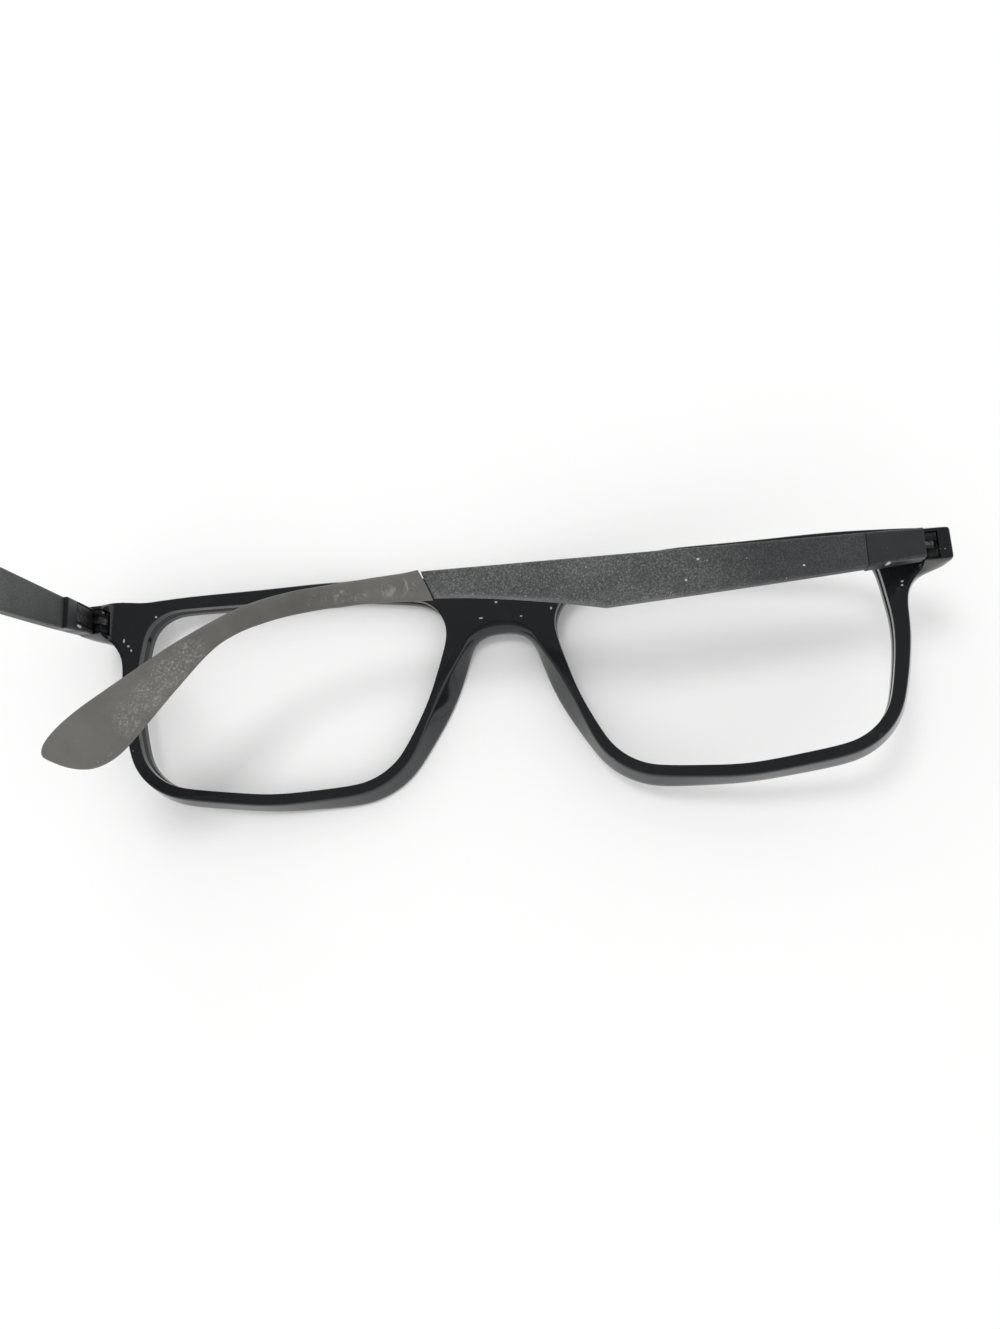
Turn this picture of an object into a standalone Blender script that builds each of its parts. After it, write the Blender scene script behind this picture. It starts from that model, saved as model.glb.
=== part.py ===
import bpy
import bmesh
from math import atan2, cos, pi, radians, sin, tan
from mathutils import Matrix, Vector

# Eyeglasses lying face down, seen by a wearer: +X right, +Y up the lenses, +Z towards the wearer.
# Every length below is in millimetres and every angle in degrees.

mm = 0.001
gap = 0.25

# Front: the line round one lens opening, from the nose side over the top, clockwise.
# Each row is a corner: x, y, corner radius, rim width at the front face, rim width at the back face.
lens_line = (
    (7.3, 16.5, 6.8, 4.9, 2.6),
    (29.5, 18.7, 0.0, 4.45, 2.8),
    (62.2, 16.7, 6.5, 2.8, 2.3),
    (63.3, 7.0, 0.0, 3.0, 2.1),
    (64.0, 1.2, 0.0, 3.15, 2.2),
    (61.1, -14.9, 9.3, 2.75, 1.95),
    (40.0, -17.1, 0.0, 2.6, 2.0),
    (20.0, -15.5, 12.2, 3.2, 1.9),
    (13.2, -2.2, 0.0, 4.0, 1.05),
)
arc_steps = 4
longest_step = 11.0
front_depth = 3.9
face_crown = 0.2
groove_depth = 0.55
groove_width = 1.3
across_radius = 211.0
down_radius = 600.0

bridge_under = 9.6
bridge_top = 21.2
bridge_half = 4.9
bridge_arch = 0.5

# Endpieces: the blocks at the outer corners, swept back to the flat ends that meet the temples.
end_inner = 68.5
end_outer = 72.8
end_low = 10.6
end_high = 15.75
end_face = 14.12
end_front_low = 10.1
end_front_high = 17.2
end_brow = 0.3
end_keel = 0.3
end_wrap = 1.4
end_lift = 0.2
# The left endpiece is bent up the lens a little, from the rim outwards.
left_bend = 1.0
bend_start = 62.0

# Hinges: a fork let flush into the endpiece, and the temple's barrel between its arms on one screw.
hinge_in = 3.4
hinge_back = 1.18
hinge_height = 13.1
hinge_lean = 3.5
barrel_radius = 1.3
barrel_height = 1.2
barrel_gap = 0.12
fork_inset = 0.1
slot_reach = 5.0
screw_radius = 0.5
screw_head_radius = 0.8
screw_head_height = 0.5
leaf_thick = 0.8
front_leaf_length = 5.0
temple_leaf_length = 7.0
temple_leaf_height = 3.2

# Temples, measured from the hinge: along the temple, and up or down from the hinge's middle.
block_length = 8.7
block_inner = 0.45
bar_thick = 2.2
bar_bevel = 0.4
bar_top_start = 2.2
bar_low_start = -2.5
bar_widest_at = 49.8
bar_widest_low = -7.3
bar_end_at = 76.1
bar_end_top = -0.2
bar_end_low = -4.25
bar_end_slant = 1.85
tongue_thick = 0.9
tongue_height = 2.2
front_tongue_length = 5.0
sleeve_tongue_length = 22.0
tongue_root = 1.5

# Tip sleeve: its sections, each from a lower to an upper point of along and up, and its thickness.
sleeve_line = (
    ((80.3, -4.72), (80.6, -0.2), 3.3),
    ((86.5, -4.68), (86.7, -0.7), 3.1),
    ((92.9, -5.1), (93.3, -1.4), 3.0),
    ((98.6, -5.85), (99.2, -2.15), 3.0),
    ((103.2, -6.95), (104.2, -3.3), 3.0),
    ((107.0, -8.3), (108.7, -5.15), 3.0),
    ((109.9, -10.0), (112.4, -7.1), 3.0),
    ((112.2, -12.3), (116.4, -9.3), 3.0),
    ((114.6, -15.1), (120.5, -11.9), 2.9),
    ((117.3, -18.1), (124.5, -14.5), 2.8),
    ((119.7, -21.0), (128.4, -17.1), 2.8),
    ((122.2, -24.0), (132.1, -19.6), 2.7),
    ((124.7, -26.8), (135.0, -21.8), 2.6),
    ((128.2, -28.5), (136.2, -24.5), 1.9),
)
sleeve_mouth = 0.5
sleeve_proud = 0.5

# Rest: how far each temple is folded in, and how the whole thing lies on its curved front.
right_fold = 82.0
left_fold = 4.5
rest_roll = -5.75
rest_pitch = -0.4


def to_metres(point):
    return Vector(point) * mm


def new_object(name, bm):
    bmesh.ops.recalc_face_normals(bm, faces=bm.faces)
    mesh = bpy.data.meshes.new(name)
    bm.to_mesh(mesh)
    bm.free()
    obj = bpy.data.objects.new(name, mesh)
    bpy.context.scene.collection.objects.link(obj)
    return obj


def apply_modifiers(obj):
    graph = bpy.context.evaluated_depsgraph_get()
    mesh = bpy.data.meshes.new_from_object(obj.evaluated_get(graph))
    old = obj.data
    obj.modifiers.clear()
    obj.data = mesh
    bpy.data.meshes.remove(old)
    mesh.name = obj.name


def combine(target, tool, operation):
    boolean = target.modifiers.new(operation, "BOOLEAN")
    boolean.operation = operation
    boolean.solver = "EXACT"
    boolean.object = tool
    apply_modifiers(target)
    mesh = tool.data
    bpy.data.objects.remove(tool)
    bpy.data.meshes.remove(mesh)


def box(low, high):
    bm = bmesh.new()
    bmesh.ops.create_cube(bm, size=1.0)
    for vert in bm.verts:
        share = [c + 0.5 for c in vert.co]
        vert.co = to_metres([a + (b - a) * s for a, b, s in zip(low, high, share)])
    return new_object("tool", bm)


def turned(profile, segments=20):
    """A solid turned about the hinge line from rows of radius and height."""
    bm = bmesh.new()
    rings = []
    for radius, height in profile:
        ring = []
        for k in range(segments):
            angle = 2 * pi * k / segments
            ring.append(bm.verts.new(to_metres((radius * cos(angle), height, radius * sin(angle)))))
        rings.append(ring)
    for a, b in zip(rings, rings[1:]):
        for k in range(segments):
            n = (k + 1) % segments
            bm.faces.new((a[k], a[n], b[n], b[k]))
    bm.faces.new(rings[0])
    bm.faces.new(rings[-1])
    return new_object("tool", bm)


def slab(outline, inner, outer, side):
    """A plate cut to an outline of along and up, between two distances out from the hinge line."""
    bm = bmesh.new()
    verts = [bm.verts.new(to_metres((side * inner, up, along))) for along, up in outline]
    face = bm.faces.new(verts)
    grown = bmesh.ops.extrude_face_region(bm, geom=[face])
    moved = [v for v in grown["geom"] if isinstance(v, bmesh.types.BMVert)]
    bmesh.ops.translate(bm, verts=moved, vec=to_metres((side * (outer - inner), 0, 0)))
    return new_object("tool", bm)


def bevel(obj, width, segments):
    modifier = obj.modifiers.new("edge", "BEVEL")
    modifier.width = width * mm
    modifier.segments = segments
    modifier.limit_method = "ANGLE"
    modifier.angle_limit = radians(35)
    apply_modifiers(obj)


def named(obj, name, material, parent):
    obj.name = name
    obj.data.name = name
    obj.data.materials.clear()
    obj.data.materials.append(material)
    obj.parent = parent
    return obj


def plain_material(name, color, roughness, metallic=0.0):
    material = bpy.data.materials.new(name)
    material.use_nodes = True
    shader = material.node_tree.nodes["Principled BSDF"]
    shader.inputs["Base Color"].default_value = (*color, 1)
    shader.inputs["Roughness"].default_value = roughness
    shader.inputs["Metallic"].default_value = metallic
    material.diffuse_color = (*color, 1)
    return material


def face_depth(x, y):
    """How far the curved front lies behind its own middle."""
    return x * x / (2 * across_radius) + y * y / (2 * down_radius)


def lens_stations():
    """Points round the opening: place, outward direction, front and back rim width, and corner."""
    stations = []
    count = len(lens_line)
    for i, (x, y, radius, front, back) in enumerate(lens_line):
        before = Vector(lens_line[i - 1][:2])
        after = Vector(lens_line[(i + 1) % count][:2])
        here = Vector((x, y))
        arriving = (here - before).normalized()
        leaving = (after - here).normalized()
        turn = arriving.angle_signed(leaving)
        start = here - arriving * radius * tan(turn / 2)
        steps = arc_steps if radius else 0
        for k in range(steps + 1):
            share = k / steps if steps else 0.5
            heading = atan2(arriving.y, arriving.x) - turn * share
            out = Vector((-sin(heading), cos(heading)))
            first = Vector((-arriving.y, arriving.x))
            place = start + (out - first) * radius if radius else here
            stations.append((place, out, front, back, i))
    filled = []
    for a, b in zip(stations, stations[1:] + stations[:1]):
        filled.append(a)
        parts = int((b[0] - a[0]).length // longest_step) + 1
        if a[4] == b[4]:
            continue
        for k in range(1, parts):
            s = k / parts
            filled.append((a[0].lerp(b[0], s), a[1].lerp(b[1], s).normalized(),
                           a[2] + (b[2] - a[2]) * s, a[3] + (b[3] - a[3]) * s, None))
    return filled


def rim_section(place, out, front, back):
    """The rim's section at one station, from the back inner edge forward and round."""
    middle = -front_depth / 2
    rows = (
        (0.0, 0.0, 0.6),
        (0.0, middle + groove_width / 2, 0.8),
        (-groove_depth, middle, 0.5),
        (0.0, middle - groove_width / 2, 0.8),
        (0.0, -front_depth, 0.6),
        (front / 2, -front_depth - face_crown, 0.0),
        (front, -front_depth, 0.4),
        (back, 0.0, 0.5),
        (back / 2, face_crown / 2, 0.0),
    )
    points = []
    for outward, z, crease in rows:
        # the groove is cut into the rim, away from the opening
        spot = place + out * abs(outward)
        points.append((Vector((spot.x, spot.y, z + face_depth(spot.x, spot.y))), crease))
    return points


def front_half(bm):
    """One half of the front as a coarse cage, for subdivision."""
    crease = bm.edges.layers.float.new("crease_edge")
    stations = lens_stations()
    sections = [rim_section(*s[:4]) for s in stations]
    wall = len(sections[0]) - 3
    nose_corner = [i for i, s in enumerate(stations) if s[4] == 0][:4]
    temple_corner = [i for i, s in enumerate(stations) if s[4] == 2][1:]
    bridge_rows = len(nose_corner) - 1
    for row, i in enumerate(nose_corner):
        y = bridge_under + (bridge_top - bridge_under) * row / bridge_rows
        for k in (wall, wall + 1):
            old, weight = sections[i][k]
            z = old.z - face_depth(old.x, old.y) + face_depth(bridge_half, y)
            sections[i][k] = (Vector((bridge_half, y, z)), weight)
    end_rows = len(temple_corner) - 1
    for row, i in enumerate(temple_corner):
        y = end_front_high + (end_front_low - end_front_high) * row / end_rows
        for k in (wall, wall + 1):
            old, weight = sections[i][k]
            z = old.z - face_depth(old.x, old.y) + face_depth(end_inner, y)
            sections[i][k] = (Vector((end_inner, y, z)), weight)
    rings = [[bm.verts.new(p * mm) for p, w in section] for section in sections]
    size = len(sections[0])
    count = len(rings)
    skipped = set(nose_corner[:-1]) | set(temple_corner[:-1])
    for i in range(count):
        a, b = rings[i], rings[(i + 1) % count]
        for k in range(size):
            n = (k + 1) % size
            if k == wall and i in skipped:
                continue
            bm.faces.new((a[k], b[k], b[n], a[n]))
    for i in range(count):
        a, b = rings[i], rings[(i + 1) % count]
        for k in range(size):
            edge = bm.edges.get((a[k], b[k]))
            edge[crease] = sections[i][k][1]

    # the bridge, out to the middle of the front
    columns = []
    for row, i in enumerate(nose_corner):
        share = row / bridge_rows
        y = bridge_under + bridge_arch * (1 - share) + (bridge_top - bridge_under) * share
        front = bm.verts.new(to_metres((0, y, -front_depth - face_crown + face_depth(0, y))))
        back = bm.verts.new(to_metres((0, y, face_depth(0, y))))
        columns.append((rings[i][wall], rings[i][wall + 1], front, back))
    close_strip(bm, columns)

    # the endpiece: out to its side, then back to its flat end
    columns = []
    for row, i in enumerate(temple_corner):
        share = row / end_rows
        y = (end_high + end_brow) * (1 - share) + (end_low - end_keel) * share
        depth = face_depth(end_outer, y)
        front = bm.verts.new(to_metres((end_outer, y, depth - front_depth + end_wrap)))
        back = bm.verts.new(to_metres((end_outer, y, depth + end_lift)))
        columns.append((rings[i][wall], rings[i][wall + 1], front, back))
    close_strip(bm, columns, keep_back=False, keep_tip=True)
    tips = []
    for row, (front, inner, outer_front, outer) in enumerate(columns):
        share = row / end_rows
        y = end_high + (end_low - end_high) * share
        a = bm.verts.new(to_metres((end_inner, y, end_face)))
        b = bm.verts.new(to_metres((end_outer, y, end_face)))
        tips.append((inner, outer, a, b))
    for (i0, o0, a0, b0), (i1, o1, a1, b1) in zip(tips, tips[1:]):
        bm.faces.new((i0, i1, a1, a0))
        bm.faces.new((o0, b0, b1, o1))
        bm.faces.new((a0, a1, b1, b0))
    for inner, outer, a, b in (tips[0], tips[-1]):
        bm.faces.new((inner, outer, b, a))
    for (i0, o0, a0, b0), (i1, o1, a1, b1) in zip(tips, tips[1:]):
        for pair in ((a0, a1), (b0, b1)):
            bm.edges.get(pair)[crease] = 0.9
    for inner, outer, a, b in (tips[0], tips[-1]):
        bm.edges.get((a, b))[crease] = 0.9
        bm.edges.get((inner, a))[crease] = 0.5
        bm.edges.get((outer, b))[crease] = 0.4


def close_strip(bm, columns, keep_back=True, keep_tip=False):
    """Faces that carry the open wall of a rim out to a new set of points."""
    for (f0, b0, nf0, nb0), (f1, b1, nf1, nb1) in zip(columns, columns[1:]):
        bm.faces.new((f0, f1, nf1, nf0))
        if keep_back:
            bm.faces.new((b0, nb0, nb1, b1))
        if keep_tip:
            bm.faces.new((nf0, nf1, nb1, nb0))
    for f, b, nf, nb in (columns[0], columns[-1]):
        bm.faces.new((f, b, nb, nf))


def bent_up(x):
    """How far the bent left endpiece lies above its true place."""
    share = min(max((-x - bend_start) / (end_inner - bend_start), 0.0), 1.0)
    return left_bend * share * share * (3 - 2 * share)


def hinge_place(side):
    lean = radians(hinge_lean)
    place = (side * (end_outer - hinge_in), hinge_height + bent_up(side * end_outer), end_face - hinge_back)
    return Matrix.Translation(to_metres(place)) @ Matrix.Rotation(lean, 4, "X")


def front_frame(material, parent):
    bm = bmesh.new()
    front_half(bm)
    obj = new_object("front_frame", bm)
    mirror = obj.modifiers.new("other side", "MIRROR")
    mirror.merge_threshold = 0.00001
    smooth = obj.modifiers.new("smooth", "SUBSURF")
    smooth.levels = 1
    smooth.render_levels = 1
    apply_modifiers(obj)
    for vert in obj.data.vertices:
        vert.co.y += bent_up(vert.co.x / mm) * mm
    for side in (1, -1):
        slot = fork_slot(side)
        combine(slot, leaf_slot(side), "UNION")
        slot.data.transform(hinge_place(side))
        combine(obj, slot, "DIFFERENCE")
    return named(obj, "front_frame", material, parent)


def barrel_stack():
    """Half heights of the middle barrel and of the whole hinge."""
    middle = barrel_height / 2
    return middle, middle + barrel_gap + barrel_height


def leaf_sides():
    """Inner and outer face of the front leaf, out from the hinge line."""
    return barrel_radius - leaf_thick, barrel_radius


def side_box(side, inner, outer, low, high, near, far):
    """A box by the hinge line: out from it, up it, and along the open temple."""
    edges = sorted((side * inner, side * outer))
    return box((edges[0], low, near), (edges[1], high, far))


def fork_slot(side):
    half = barrel_stack()[1] + gap
    return side_box(side, -slot_reach, barrel_radius + gap, -half, half, -barrel_radius - gap, slot_reach)


def leaf_slot(side):
    half = barrel_stack()[1] + gap
    inner, outer = leaf_sides()
    return side_box(side, inner - gap, outer + gap, -half, half, -front_leaf_length - gap, 0.0)


def front_hinge(side, name, material, parent):
    middle, whole = barrel_stack()
    leaf_in, leaf_out = leaf_sides()
    leaf = side_box(side, leaf_in, leaf_out, -whole, whole, -front_leaf_length, 0.0)
    inner = end_inner - (end_outer - hinge_in) + fork_inset
    fork = side_box(side, inner, leaf_out, -whole, whole, -barrel_radius, hinge_back - fork_inset)
    combine(leaf, fork, "UNION")
    clear = barrel_radius + gap
    room = middle + barrel_gap
    combine(leaf, side_box(side, -slot_reach, slot_reach, -room, room, 0.0, slot_reach), "DIFFERENCE")
    combine(leaf, turned(((clear, -room), (clear, room))), "DIFFERENCE")
    seat = whole - screw_head_height
    bore = turned(((screw_radius + gap, -whole - 1), (screw_radius + gap, seat - gap / 2),
                   (screw_head_radius + gap, seat - gap / 2), (screw_head_radius + gap, whole + 1)))
    combine(leaf, bore, "DIFFERENCE")
    return named(leaf, name, material, parent)


def hinge_screw(name, material, parent):
    middle, whole = barrel_stack()
    seat = whole - screw_head_height
    body = turned(((screw_radius, -whole + 0.05), (screw_radius, seat),
                   (screw_head_radius, seat), (screw_head_radius, whole - 0.05)))
    groove = box((-2.0, whole - 0.25, -0.1), (2.0, whole + 1.0, 0.1))
    combine(body, groove, "DIFFERENCE")
    return named(body, name, material, parent)


def temple_hinge(side, name, material, parent):
    middle, whole = barrel_stack()
    start = barrel_radius + gap
    half = temple_leaf_height / 2
    outline = ((0.0, -middle), (start, -middle), (start, -half), (temple_leaf_length, -half),
               (temple_leaf_length, half), (start, half), (start, middle), (0.0, middle))
    leaf = slab(outline, leaf_inner(), leaf_inner() + leaf_thick, side)
    combine(leaf, turned(((barrel_radius, -middle), (barrel_radius, middle))), "UNION")
    bore = turned(((screw_radius + gap, -middle - 1), (screw_radius + gap, middle + 1)))
    combine(leaf, bore, "DIFFERENCE")
    return named(leaf, name, material, parent)


def leaf_inner():
    return block_inner + 0.05


def edge_height(start, end, along):
    """Height of a straight temple edge between its start by the hinge and its end by the sleeve."""
    first = hinge_back + gap
    return start + (end - start) * (along - first) / (bar_end_at - first)


def lower_edge(along):
    first = hinge_back + gap
    share = (along - first) / (bar_widest_at - first)
    return bar_low_start + (bar_widest_low - bar_low_start) * share ** 0.9


def hinge_block(side, name, material, parent):
    first = hinge_back + gap
    last = first + block_length
    outline = ((first, edge_height(bar_top_start, bar_end_top, first)), (first, lower_edge(first)),
               (last, lower_edge(last)), (last, edge_height(bar_top_start, bar_end_top, last)))
    block = slab(outline, block_inner, hinge_in, side)
    bevel(block, bar_bevel, 2)
    half = temple_leaf_height / 2 + gap
    edges = sorted((side * -2.0, side * (leaf_inner() + leaf_thick + gap)))
    combine(block, box((edges[0], -half, 0.0), (edges[1], half, temple_leaf_length + gap)), "DIFFERENCE")
    pocket = slab(tongue_outline(last, front_tongue_length + gap, gap),
                  bar_middle() - tongue_thick / 2 - gap, bar_middle() + tongue_thick / 2 + gap, side)
    combine(block, pocket, "DIFFERENCE")
    return named(block, name, material, parent)


def bar_middle():
    return hinge_in - bar_thick / 2


def tongue_outline(last, length, grow):
    """The bar's front tongue, in the hinge block."""
    middle = (edge_height(bar_top_start, bar_end_top, last) + lower_edge(last)) / 2
    half = tongue_height / 2 + grow
    return ((last - length, middle - half), (last - length, middle + half),
            (last + tongue_root, middle + half), (last + tongue_root, middle - half))


def sleeve_tongue(grow):
    """The bar's back tongue, in the tip sleeve, along the sleeve's own middle line."""
    half = tongue_height / 2 + grow
    end = bar_end_at + sleeve_tongue_length + grow
    line = [Vector((bar_end_at - tongue_root, (bar_end_top + bar_end_low) / 2))]
    for row in sleeve_line:
        here = (Vector(row[0]) + Vector(row[1])) / 2
        if here.x > end:
            line.append(line[-1].lerp(here, (end - line[-1].x) / (here.x - line[-1].x)))
            break
        line.append(here)
    return [(p.x, p.y - half) for p in line] + [(p.x, p.y + half) for p in reversed(line)]


def temple_bar(side, name, material, parent):
    first = hinge_back + gap + block_length + gap
    outline = [(first, edge_height(bar_top_start, bar_end_top, first))]
    steps = 5
    for k in range(steps + 1):
        along = first + (bar_widest_at - first) * k / steps
        outline.append((along, lower_edge(along)))
    # behind the widest place the lower edge sweeps up to the sleeve
    rise = bar_end_low - bar_widest_low
    for share in (0.35, 0.68):
        along = bar_widest_at + (bar_end_at - bar_widest_at) * share
        outline.append((along, bar_widest_low + rise * (1 - (1 - share) ** 1.6)))
    outline.append((bar_end_at, bar_end_low))
    outline.append((bar_end_at + bar_end_slant, bar_end_top))
    bar = slab(outline, hinge_in - bar_thick, hinge_in, side)
    bevel(bar, bar_bevel, 2)
    inner, outer = bar_middle() - tongue_thick / 2, bar_middle() + tongue_thick / 2
    front = slab(tongue_outline(first, front_tongue_length, 0.0), inner, outer, side)
    combine(bar, front, "UNION")
    combine(bar, slab(sleeve_tongue(0.0), inner, outer, side), "UNION")
    return named(bar, name, material, parent)


def sleeve_section(low, high, thick, side):
    """Eight points of a flat oval between a lower and an upper point."""
    low, high = Vector(low), Vector(high)
    shoulder = 0.3 * thick / (high - low).length
    rows = ((1.0, 0.25), (1.0 - shoulder, 0.5), (shoulder, 0.5), (0.0, 0.25),
            (0.0, -0.25), (shoulder, -0.5), (1.0 - shoulder, -0.5), (1.0, -0.25))
    points = []
    for tall, wide in rows:
        spot = low.lerp(high, tall)
        points.append(to_metres((side * (bar_middle() + wide * thick), spot.y, spot.x)))
    return points


def tip_sleeve(side, name, material, parent):
    bm = bmesh.new()
    crease = bm.edges.layers.float.new("crease_edge")
    sections = []
    # the mouth follows the slanted end of the bar and stands proud of it
    slant = Vector((bar_end_slant, bar_end_top - bar_end_low))
    proud = slant.normalized() * sleeve_proud
    for shift in (0.0, sleeve_mouth):
        low = Vector((bar_end_at + gap + shift, bar_end_low))
        sections.append(sleeve_section(low - proud, low + slant + proud, bar_thick + 2 * sleeve_proud, side))
    for low, high, thick in sleeve_line:
        sections.append(sleeve_section(low, high, thick, side))
    rings = [[bm.verts.new(p) for p in section] for section in sections]
    for a, b in zip(rings, rings[1:]):
        for k in range(8):
            n = (k + 1) % 8
            bm.faces.new((a[k], a[n], b[n], b[k]))
    bm.faces.new(rings[0])
    bm.faces.new(rings[-1])
    for k in range(8):
        bm.edges.get((rings[0][k], rings[0][(k + 1) % 8]))[crease] = 0.8
    sleeve = new_object("tool", bm)
    smooth = sleeve.modifiers.new("smooth", "SUBSURF")
    smooth.levels = 1
    smooth.render_levels = 1
    apply_modifiers(sleeve)
    hollow = slab(sleeve_tongue(gap), bar_middle() - tongue_thick / 2 - gap,
                  bar_middle() + tongue_thick / 2 + gap, side)
    combine(sleeve, hollow, "DIFFERENCE")
    return named(sleeve, name, material, parent)


def empty(name, parent, matrix):
    obj = bpy.data.objects.new(name, None)
    bpy.context.scene.collection.objects.link(obj)
    obj.parent = parent
    obj.matrix_basis = matrix
    return obj


def rest_on_floor(root):
    """Turns the whole thing as it lies and puts its lowest point at 0, centred over the origin."""
    turn = Matrix.Rotation(radians(rest_roll), 4, "Y") @ Matrix.Rotation(radians(rest_pitch), 4, "X")
    root.matrix_basis = turn
    bpy.context.view_layer.update()
    points = []
    for obj in bpy.context.scene.objects:
        if obj.type == "MESH":
            points.extend(obj.matrix_world @ v.co for v in obj.data.vertices)
    low = [min(p[k] for p in points) for k in range(3)]
    high = [max(p[k] for p in points) for k in range(3)]
    shift = Vector((-(low[0] + high[0]) / 2, -(low[1] + high[1]) / 2, -low[2]))
    root.matrix_basis = Matrix.Translation(shift) @ turn
    bpy.context.view_layer.update()


def build():
    for obj in list(bpy.data.objects):
        bpy.data.objects.remove(obj)
    gloss_black = plain_material("gloss black plastic", (0.012, 0.013, 0.016), 0.16)
    satin_black = plain_material("satin black plastic", (0.03, 0.031, 0.033), 0.4)
    grey_metal = plain_material("grained grey metal", (0.075, 0.076, 0.078), 0.45, 0.8)
    dark_metal = plain_material("dark hinge metal", (0.06, 0.06, 0.062), 0.35, 0.9)
    steel = plain_material("screw steel", (0.45, 0.45, 0.46), 0.3, 1.0)
    rubber = plain_material("olive grey rubber", (0.14, 0.138, 0.122), 0.6)
    root = empty("glasses", None, Matrix.Identity(4))
    front_frame(gloss_black, root)
    for side, word, fold in ((1, "right", right_fold), (-1, "left", left_fold)):
        fixed = empty(word + "_hinge_axis", root, hinge_place(side))
        swing = empty(word + "_temple_swing", fixed, Matrix.Rotation(radians(-side * fold), 4, "Y"))
        front_hinge(side, word + "_front_hinge", dark_metal, fixed)
        hinge_screw(word + "_hinge_screw", steel, fixed)
        temple_hinge(side, word + "_temple_hinge", dark_metal, swing)
        hinge_block(side, word + "_hinge_block", satin_black, swing)
        temple_bar(side, word + "_temple_bar", grey_metal, swing)
        tip_sleeve(side, word + "_tip_sleeve", rubber, swing)
    rest_on_floor(root)


build()
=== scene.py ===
import bpy
import bmesh
from math import atan2, cos, pi, radians, sin, tan
from mathutils import Matrix, Vector, noise


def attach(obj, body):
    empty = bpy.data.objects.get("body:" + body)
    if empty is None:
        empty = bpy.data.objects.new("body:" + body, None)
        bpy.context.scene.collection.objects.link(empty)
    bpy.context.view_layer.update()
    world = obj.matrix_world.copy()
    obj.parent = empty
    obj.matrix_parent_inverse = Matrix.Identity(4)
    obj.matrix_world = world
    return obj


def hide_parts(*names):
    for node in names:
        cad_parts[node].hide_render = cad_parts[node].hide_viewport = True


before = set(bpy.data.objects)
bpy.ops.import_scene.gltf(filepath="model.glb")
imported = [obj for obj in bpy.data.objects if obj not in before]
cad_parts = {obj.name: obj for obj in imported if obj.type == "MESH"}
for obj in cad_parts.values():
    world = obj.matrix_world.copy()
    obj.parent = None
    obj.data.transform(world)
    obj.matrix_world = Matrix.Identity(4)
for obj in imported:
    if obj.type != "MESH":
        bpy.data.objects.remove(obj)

mm = 0.001
merge = 0.001  # points nearer than this are one
finest = 0.0005
sharpAngle = 38
scene = bpy.context.scene
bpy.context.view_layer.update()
print("frame loaded")

# lengths in mm and angles in degrees; +X right, +Y up the lenses, +Z towards the wearer
lie = {
    "roll": -5.75,
    "pitch": -0.4,
    "shift": (2.6966, -1.1366, 4.8323),
}
lying = (Matrix.Translation(Vector(lie["shift"]) * mm) @ Matrix.Rotation(radians(lie["roll"]), 4, "Y")
         @ Matrix.Rotation(radians(lie["pitch"]), 4, "X"))

front = {
    # corners of the line round a lens: x, y, radius, rim width at the front, at the back
    "lensLine": (
        (7.3, 16.5, 6.8, 4.9, 2.6),
        (29.5, 18.7, 0.0, 4.45, 2.8),
        (62.2, 16.7, 6.5, 2.8, 2.3),
        (63.3, 7.0, 0.0, 3.3, 2.5),
        (64.0, 1.2, 0.0, 3.15, 2.2),
        (61.1, -14.9, 9.3, 2.75, 1.95),
        (40.0, -17.1, 0.0, 2.6, 2.0),
        (20.0, -15.5, 12.2, 3.2, 1.9),
        (13.2, -2.2, 0.0, 4.0, 1.05),
    ),
    "arcSteps": 4,
    "longestStep": 11.0,
    "depth": 3.9,
    "crown": 0.2,
    "grooveDepth": 0.55,
    "grooveWidth": 1.3,
    "acrossRadius": 211.0,
    "downRadius": 600.0,
    "bridgeUnder": 9.6,
    "bridgeTop": 21.2,
    "bridgeHalf": 4.9,
    "bridgeArch": 0.5,
    "joinWithin": 0.01,
    "smooth": 3,
    "sharp": 42,
}
endpiece = {
    "inner": 68.5,
    "outer": 72.8,
    "low": 10.6,
    "high": 15.75,
    "face": 14.12,
    "frontLow": 10.1,
    "frontHigh": 17.2,
    "brow": 0.3,
    "keel": 0.3,
    "wrap": 1.4,
    "lift": 0.2,
    "leftBend": 1.0,  # the left one is bent up the lens
    "bendStart": 62.0,
    "endCrease": 0.9,
    "innerCrease": 0.5,
    "outerCrease": 0.4,
}
hinge = {
    "in": 3.4,
    "back": 1.18,
    "height": 13.1,
    "lean": 3.5,
    "barrel": 1.3,
    "barrelTall": 1.2,
    "barrelGap": 0.12,
    "forkInset": 0.1,
    "reach": 5.0,
    "leafThick": 0.8,
    "frontLeaf": 5.0,
    "templeLeaf": 7.0,
    "templeLeafTall": 3.2,
    "gap": 0.25,
    "turnSteps": 40,
    "edge": 0.07,
    "edgeAngle": 40,
    "edgeSteps": 3,
    "leafSink": 0.05,
    "past": 1.0,  # how far a drill goes past what it cuts
    "rightFold": 82.0,
    "leftFold": 4.5,
}
screw = {
    "radius": 0.5,
    "headRadius": 0.8,
    "headTall": 0.5,
    "sunk": 0.05,
    "slotLong": 4.0,
    "slotWide": 0.2,
    "slotDeep": 0.2,
    "pitch": 0.3,
    "threadOut": 0.09,
    "grooveShare": 0.4,  # of the pitch, to each side of the groove's middle
    "grooveOut": 0.1,
    "turns": 4,
    "round": 0.06,
    "sharp": 30,
}
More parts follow.
